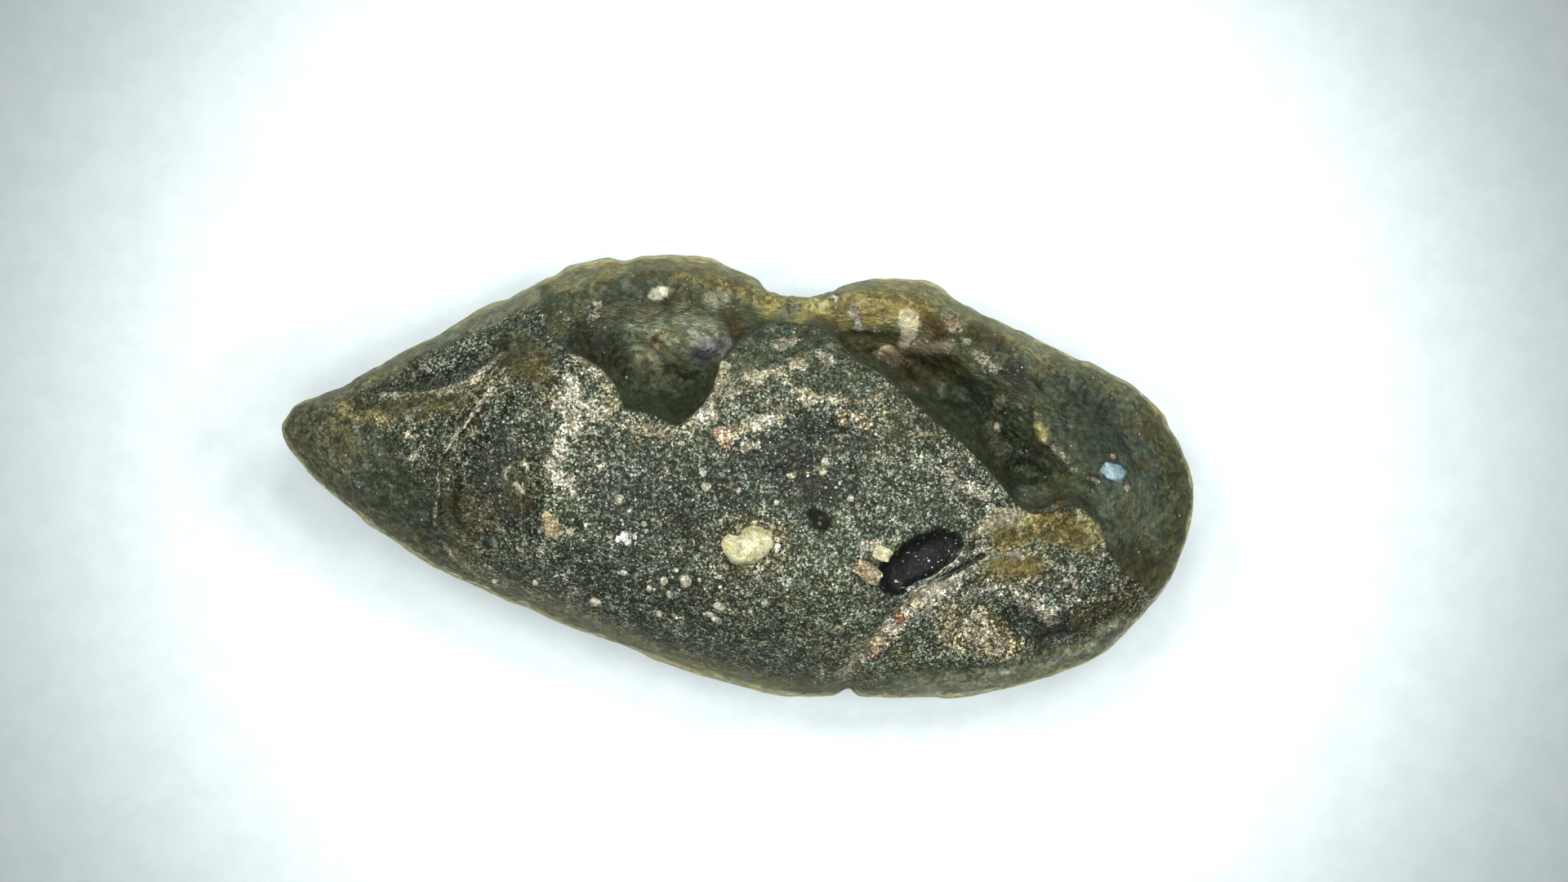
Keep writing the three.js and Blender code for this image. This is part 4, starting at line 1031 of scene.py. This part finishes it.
def etched_glass():
    """Dark olive glass with an etched, gritty skin, painted glints and reflections, and clay and
    crumbs in its hollows.
    """
    material, tree, shader = new_material("etched_glass")
    spot = object_millimetres(tree)
    parts = add(tree, "ShaderNodeSeparateXYZ", {0: spot}).outputs
    upright = add(tree, "ShaderNodeCombineXYZ", {
        0: parts[0], 1: parts[1], 2: attribute(tree, "level")}).outputs[0]
    sparkle = attribute(tree, "sparkle")
    gloss = attribute(tree, "gloss")

    # The glass, with clouds of brown and green.
    tint = attribute(tree, "tint", "Color")
    clouds = maths(tree, "ADD", grain_noise(tree, spot, 1.8, 4.0, 0.65),
                   maths(tree, "MULTIPLY", grain_noise(tree, spot, 9.0, 2.0), 0.4))
    hue = soft_step(tree, clouds, 0.56, 0.84)
    brown = mix(tree, 1.0, tint, BROWN_CAST, "MULTIPLY")
    green = mix(tree, 1.0, tint, GREEN_CAST, "MULTIPLY")
    glass = mix(tree, hue, brown, green)

    # Clay with a torn edge.
    torn = maths(tree, "ADD", grain_noise(tree, spot, 2.6, 3.0, 0.6),
                 grain_noise(tree, spot, 13.0, 2.0, 0.7))
    cover = maths(tree, "ADD", attribute(tree, "clay"),
                  maths(tree, "MULTIPLY", maths(tree, "SUBTRACT", torn, 1.0), 1.5))
    covered = soft_step(tree, cover, 0.36, 0.6)
    bare = mix(tree, covered, glass, clay_colour(tree, spot, attribute(tree, "warmth")))

    # The etched facets, their painted glints, and the brightest facets greyed as a painted
    # reflection.
    contrast = mix_value(tree, covered, sparkle, soft_step(tree, sparkle, 0.4, 1.0, 0.35, 0.66))
    contrast = maths(tree, "MULTIPLY", contrast, soft_step(tree, gloss, 0.0, 1.0, 1.0, 0.4))
    share = maths(tree, "MULTIPLY", maths(tree, "POWER", contrast, 3.0), GLINT_SHARE)
    grit = use_group(tree, GRIT_AND_GLINTS, {
        "Vector": upright, "Per mm": FACETS_PER_MM,
        "Contrast": maths(tree, "MULTIPLY", contrast, 1.08),
        "Mottle": soft_step(tree, contrast, 0.3, 1.0, 0.55, 1.0), "Share": share,
        "Coarse": soft_step(tree, sparkle, 0.4, 0.75, 1.0, 0.0)})
    colour = mix(tree, contrast, bare, grit["Cast"], "MULTIPLY")
    colour = scaled(tree, colour, grit["Factor"])
    light = add(tree, "ShaderNodeRGBToBW", {0: colour}).outputs[0]
    grey = scaled(tree, REFLECTION_CAST, light)
    # Painted reflection: the brightest facets turn grey.
    painted_reflection = maths(tree, "MULTIPLY", soft_step(tree, grit["Factor"], 1.0, 2.6, 0.0, 0.5),
                  soft_step(tree, covered, 0.0, 1.0, 1.0, 0.2))
    colour = mix(tree, painted_reflection, colour, grey)
    # Painted glints, in their own colour.
    colour = mix(tree, maths(tree, "MULTIPLY", grit["Glint"], 0.95), colour, grit["Glint Colour"])

    dull = soft_step(tree, gloss, 0.0, 1.0, ETCHED, POLISHED)
    roughness = maths(tree, "ADD", dull, maths(tree, "MULTIPLY", covered, 0.3))
    lumps = grain_noise(tree, spot, 4.5, 3.0, 0.6)
    height = maths(tree, "ADD", maths(tree, "MULTIPLY", lumps, 1.1),
                   maths(tree, "MULTIPLY", grit["Height"], maths(tree, "MULTIPLY", contrast, 0.5)))
    height = maths(tree, "ADD", maths(tree, "MULTIPLY", covered, 0.4), maths(
        tree, "MULTIPLY", height, soft_step(tree, gloss, 0.0, 1.0, 1.0, 0.25)))
    finish_material(tree, shader, colour, roughness, height, SKIN_BUMP)
    shader.inputs["IOR"].default_value = GLASS_IOR
    shader.inputs["Specular IOR Level"].default_value = GLASS_SPECULAR
    return material


def grain_material(name, light, dark, rough, gritty=8.0, contrast=0.3):
    """A mineral grain: two shades of one colour, with crumbly grit and a few painted glints between
    them.
    """
    material, tree, shader = new_material(name)
    spot = object_millimetres(tree)
    cloud = grain_noise(tree, spot, gritty, 3.0, 0.6)
    grit = use_group(tree, GRIT_AND_GLINTS, {
        "Vector": spot, "Per mm": GRAIN_FACETS_PER_MM, "Contrast": contrast,
        "Mottle": 0.4, "Share": 0.03, "Coarse": 0.0})
    shade = mix(tree, soft_step(tree, cloud, 0.35, 0.62), dark, light)
    colour = scaled(tree, shade, grit["Factor"])
    # Painted glints.
    colour = mix(tree, maths(tree, "MULTIPLY", grit["Glint"], 0.5), colour, grit["Glint Colour"])
    roughness = soft_step(tree, cloud, 0.3, 0.7, rough + 0.1, rough - 0.1)
    height = maths(tree, "ADD", cloud, maths(tree, "MULTIPLY", grit["Height"], 0.5))
    finish_material(tree, shader, colour, roughness, height, GRAIN_BUMP)
    return material


# ------------------------------------------------------------------ lodged grains
class Seat:
    """Finds the glass surface under a place in plan."""

    def __init__(self, ob):
        self.tree = BVHTree.FromPolygons([v.co for v in ob.data.vertices],
                                         [p.vertices for p in ob.data.polygons])

    def under(self, x, y):
        """The place and the normal of the glass."""
        place, normal, *_ = self.tree.ray_cast(Vector((x, y, ABOVE)), Vector((0, 0, -1)))
        return place, normal


def grain(bm, seat, at, half, turn=0.0, sink=0.35, rough=0.12, detail=3, seed=0, square=0.0):
    """Adds one pebble to a bmesh, seated in the glass: half is its length, width and height."""
    place, normal = seat.under(*at)
    normal = (normal + Vector((0, 0, 2))).normalized()
    made = bmesh.ops.create_icosphere(bm, subdivisions=detail, radius=1)["verts"]
    for vert in made:
        ball = vert.co.copy()
        if square:
            ball = ball * (1 - square) + Vector(
                [math.copysign(abs(c) ** 0.45, c) for c in ball]) * square * 0.8
        lumpy = 1 + rough * (noise.noise(ball * 1.6 + Vector((seed, 0, 0))) * 2
                             + 0.6 * noise.noise(ball * 4 + Vector((0, seed, 0))))
        vert.co = ball * lumpy
    bmesh.ops.scale(bm, vec=half, verts=made)
    lean = Vector((0, 0, 1)).rotation_difference(normal).to_matrix()
    spin = Matrix.Rotation(math.radians(turn), 3, "Z")
    bmesh.ops.rotate(bm, cent=(0, 0, 0), matrix=lean @ spin, verts=made)
    bmesh.ops.translate(bm, vec=place + normal * half[2] * (1 - 2 * sink), verts=made)
    return made


def sliver(bm, seat, route, half, cuts=20, ahead=0.1):
    """Adds a thin bright line of glass that follows a route and tapers at both ends; most stand for
    painted glints along broken edges, the rest for crystal streaks.
    """
    already = len(bm.verts)
    made = bmesh.ops.create_cone(
        bm, cap_ends=True, segments=6, radius1=1, radius2=1, depth=2)["verts"]
    long = dict.fromkeys(edge for vert in made for edge in vert.link_edges
                         if abs(edge.verts[0].co.z - edge.verts[1].co.z) > 1)
    bmesh.ops.subdivide_edges(bm, edges=list(long), cuts=cuts)
    route = np.array(route)
    knots = np.linspace(0, 1, len(route))
    for vert in list(bm.verts)[already:]:
        share = (vert.co.z + 1) / 2
        x, y = (np.interp(share, knots, column) for column in route.T)
        wobble = noise.noise_vector(Vector((x * 7, y * 7, 0))) * 0.05
        start, end = max(share - ahead, 0), min(share + ahead, 1)
        along = [np.interp(end, knots, column) - np.interp(start, knots, column)
                 for column in route.T]
        side = Vector((-along[1], along[0], 0)).normalized()
        uneven = 1 + 0.5 * noise.noise(Vector((x * 9, y * 9, 0)))
        width = half * (0.15 + math.sin(math.pi * share) * uneven)
        place, _ = seat.under(x + wobble.x, y + wobble.y)
        vert.co = place + side * width * vert.co.x + Vector((0, 0, width * vert.co.y * 0.6))


def piece(name, bm, material, smooth=True):
    """Turns a bmesh in millimetres into a finished piece that rides on the stone."""
    bmesh.ops.scale(bm, vec=(MM,) * 3, verts=bm.verts)
    bmesh.ops.recalc_face_normals(bm, faces=bm.faces)
    for face in bm.faces:
        face.smooth = smooth
    mesh = bpy.data.meshes.new(name)
    bm.to_mesh(mesh)
    bm.free()
    mesh.materials.append(material)
    ob = bpy.data.objects.new(name, mesh)
    bpy.context.scene.collection.objects.link(ob)
    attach(ob, "root")


def pebbles(name, seat, material, rows, smooth=True):
    """One piece made of pebbles, with a row of measures for each."""
    bm = bmesh.new()
    for row in rows:
        grain(bm, seat, *row)
    piece(name, bm, material, smooth)


# A cluster of white crystals: place and half width.
CLUSTER = [(-2.49, -1.24, 0.14), (-2.4, -1.36, 0.1), (-2.62, -1.3, 0.09), (-2.26, -1.26, 0.06)]
# Small white grains: place, half length and width, and turn.
SPOTS = [
    (-1.36, -1.98, 0.06, 0.05, 0), (-3.33, -0.99, 0.05, 0.05, 0), (-0.41, -2.34, 0.05, 0.04, 20),
    (-0.86, -2.19, 0.05, 0.05, 0), (0.84, -1.49, 0.12, 0.06, 80), (1.29, -1.87, 0.04, 0.04, 0),
    (1.5, 0.08, 0.04, 0.03, 40), (-2.38, -0.69, 0.05, 0.04, 10), (7.41, -2.64, 0.05, 0.04, 0),
    (-4.0, -0.1, 0.04, 0.04, 0),
]
# Round crumbs of clay: place and half width.
CRUMBS = [
    (-0.7, -0.17, 0.12), (-1.63, -2.21, 0.11), (-1.16, -2.21, 0.16), (-1.95, -2.37, 0.09),
    (-3.1, -2.66, 0.16), (-0.43, -2.75, 0.14), (-0.64, -2.93, 0.09), (-0.52, -3.03, 0.09),
    (-1.74, -2.91, 0.09), (0.25, -2.87, 0.07), (-4.44, -2.25, 0.09), (-5.33, -2.21, 0.09),
    (1.88, 0.38, 0.11), (-1.52, -2.5, 0.09), (-2.51, -2.03, 0.09), (0.36, -2.03, 0.07),
    (-3.67, -1.14, 0.11), (-0.77, 0.12, 0.09), (0.0, -0.24, 0.07), (0.81, -0.51, 0.07),
    (2.42, -0.42, 0.09), (-2.6, -0.42, 0.11), (-2.06, -0.96, 0.07),
]
# Bright lines, most of them painted glints along broken glass edges and the rest crystal streaks:
# route and half width.
SLIVERS = [
    ([(4.01, -2.25), (4.31, -2.05), (4.55, -1.91), (4.76, -1.71), (4.89, -1.48)], 0.022),
    ([(3.74, -2.44), (4.1, -2.3), (4.46, -2.1), (4.67, -1.94)], 0.016),
    ([(4.3, -2.12), (4.51, -2.0), (4.67, -1.83)], 0.014),
    ([(-5.76, 1.48), (-5.85, 1.32), (-5.98, 1.14), (-6.07, 1.05)], 0.028),
    ([(-6.07, 1.03), (-6.18, 0.89), (-6.3, 0.72), (-6.41, 0.55)], 0.034),
    ([(-6.52, 0.19), (-6.57, 0.03), (-6.52, -0.12)], 0.02),
    ([(-6.53, -0.21), (-6.52, -0.37)], 0.018),
    ([(-5.24, 2.48), (-5.41, 2.23), (-5.48, 1.94)], 0.016),
    ([(-5.51, 1.87), (-5.62, 1.69), (-5.73, 1.51)], 0.024),
    ([(-5.01, 0.28), (-5.07, 0.12), (-5.05, -0.06)], 0.016),
    ([(-4.65, 0.33), (-4.6, 0.24), (-4.65, 0.13)], 0.02),
    ([(-4.82, -0.13), (-4.74, -0.24)], 0.03),
    ([(-4.71, -0.06), (-4.67, -0.22)], 0.024),
    ([(5.08, -2.93), (5.24, -3.03), (5.41, -3.14)], 0.034),
    ([(4.98, -3.07), (5.21, -3.25)], 0.024),
    ([(5.28, -2.96), (5.5, -3.14)], 0.02),
]


def lodge_grains(seat):
    """Seats the mineral grains, the clay crumbs and the bright lines of painted glints and crystal
    streaks in the skin.
    """
    cream = grain_material(
        "cream_mineral", srgb(230, 228, 186), srgb(198, 184, 124), 0.6, 5.0, 0.2)
    tan = grain_material("tan_mineral", srgb(186, 170, 130), srgb(112, 90, 54), 0.7, 6.0, 0.5)
    white = grain_material("white_mineral", srgb(236, 234, 222, 0.7), srgb(190, 186, 170), 0.4)
    crumb = grain_material("clay_crumb", srgb(212, 206, 182), srgb(158, 148, 118), 0.8, 9.0)
    bright = grain_material("glint_and_crystal_lines", srgb(226, 222, 200), srgb(128, 122, 98), 0.45, 12.0)
    blue = grain_material(
        "pale_blue_mineral", srgb(140, 172, 180), srgb(104, 140, 150), 0.4, 4.0, 0.2)

    bm = bmesh.new()
    kidney = grain(bm, seat, (0.2, -1.42), (0.6, 0.41, 0.24), 18, 0.38, 0.1, 4, 3.1)
    for vert in kidney:  # the dent at its upper left
        reach = math.hypot(vert.co.x + 0.05, vert.co.y + 1.12)
        vert.co.z -= 0.3 * math.exp(-((reach / 0.15) ** 2))
    piece("cream_grain", bm, cream)

    pebbles("tan_grains", seat, tan, [
        ((2.77, -2.0), (0.36, 0.22, 0.13), -38, 0.5, 0.2, 3, 7.7, 0.6),
        ((-4.07, -1.02), (0.2, 0.32, 0.12), 12, 0.4, 0.35, 3, 2.2, 0.4)], smooth=False)
    pebbles("cream_wedge", seat, cream, [
        ((3.1, -1.6), (0.24, 0.18, 0.11), -20, 0.5, 0.18, 3, 5.5, 0.6)], smooth=False)
    pebbles("white_crystals", seat, white, [
        ((x, y), (half, half * 0.85, half * 0.4), 40 * x, 0.35, 0.4, 2, x, 0.7)
        for x, y, half in CLUSTER] + [
        ((x, y), (length, width, width * 0.5), turn, 0.4, 0.35, 2, y, 0.6)
        for x, y, length, width, turn in SPOTS])
    pebbles("clay_crumbs", seat, crumb, [
        ((x, y), (half, half * 0.85, half * 0.4), 60 * x, 0.4, 0.3, 2, y)
        for x, y, half in CRUMBS])
    pebbles("blue_fleck", seat, blue, [
        ((8.16, 0.15), (0.33, 0.21, 0.06), -20, 0.15, 0.15, 3, 4.4, 0.7)])

    noise.seed_set(SEED)  # noise_vector is seeded by the clock otherwise
    bm = bmesh.new()
    for route, half in SLIVERS:
        sliver(bm, seat, route, half)
    piece("bright_slivers", bm, bright)


# ------------------------------------------------------------------ the stone
def make_tektite():
    """The stone: the worn and etched glass with the grains that lodge in it."""
    ob = even_skin("tektite_glass", "tektite")
    wear_smooth(ob.data)
    dress_skin(ob.data)
    faces = sum(len(face.vertices) - 2 for face in ob.data.polygons)
    apply_modifier(ob, "DECIMATE", ratio=FACES_LEFT / faces)
    seat = Seat(ob)
    place_corners(ob.data, corners(ob.data) * MM)
    ob.data.polygons.foreach_set("use_smooth", np.ones(len(ob.data.polygons), bool))
    ob.data.materials.clear()
    ob.data.materials.append(etched_glass())
    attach(ob, "root")
    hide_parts("tektite")
    lodge_grains(seat)


# ------------------------------------------------------------------ floor, light and camera
def make_floor():
    """A plain sheet of pale paper under the stone."""
    bm = bmesh.new()
    bmesh.ops.create_grid(bm, x_segments=1, y_segments=1, size=PAPER_WIDTH / 2)
    mesh = bpy.data.meshes.new("paper")
    bm.to_mesh(mesh)
    bm.free()
    floor = bpy.data.objects.new("paper", mesh)
    bpy.context.scene.collection.objects.link(floor)
    material, tree, shader = new_material("white_paper")
    spot = object_millimetres(tree)
    pulp = grain_noise(tree, spot, 1.4, 4.0, 0.6)
    colour = mix(tree, soft_step(tree, pulp, 0.3, 0.7), *PAPER_SHADES)
    roughness = soft_step(tree, pulp, 0.0, 1.0, 0.8, 0.95)
    finish_material(tree, shader, colour, roughness, pulp, PAPER_BUMP)
    mesh.materials.append(material)


def make_lights():
    """A ring of small soft lamps above the stone, brighter on one side, and a dim room."""
    middle = Vector((*FIELD_MIDDLE, WAIST))
    for index in range(LED_COUNT):
        angle = 2 * math.pi * (index + 0.5) / LED_COUNT
        place = middle + Vector((LED_RING * math.cos(angle), LED_RING * math.sin(angle),
                                 LED_HEIGHT - WAIST))
        lamp = bpy.data.lights.new(f"lamp_{index}", "SPOT")
        side, share = LED_LEAN
        lamp.energy = LED_POWER * (1 + share * math.cos(angle - math.radians(side)))
        lamp.color = LED_WHITE
        lamp.spot_size = math.radians(LED_CONE)
        lamp.spot_blend = 1.0
        lamp.shadow_soft_size = LED_SIZE * MM
        ob = bpy.data.objects.new(lamp.name, lamp)
        ob.location = place * MM
        ob.rotation_euler = (middle - place).to_track_quat("-Z", "Y").to_euler()
        bpy.context.scene.collection.objects.link(ob)
    world = bpy.data.worlds.new("dim_room")
    world.use_nodes = True
    backdrop = world.node_tree.nodes["Background"].inputs
    backdrop["Color"].default_value = ROOM_WHITE
    backdrop["Strength"].default_value = ROOM_POWER
    bpy.context.scene.world = world


def make_camera():
    """Looks straight down, from far enough away for a nearly flat view."""
    data = bpy.data.cameras.new("camera")
    data.sensor_width = SENSOR
    data.lens = SENSOR * CAMERA_DISTANCE / FIELD_WIDTH
    data.clip_start, data.clip_end = CLIPPING
    camera = bpy.data.objects.new("camera", data)
    camera.location = Vector((*FIELD_MIDDLE, WAIST + CAMERA_DISTANCE)) * MM
    bpy.context.scene.collection.objects.link(camera)
    bpy.context.scene.camera = camera
    bpy.context.scene.view_settings.view_transform = "Standard"


make_camera()
make_lights()
make_floor()
make_tektite()
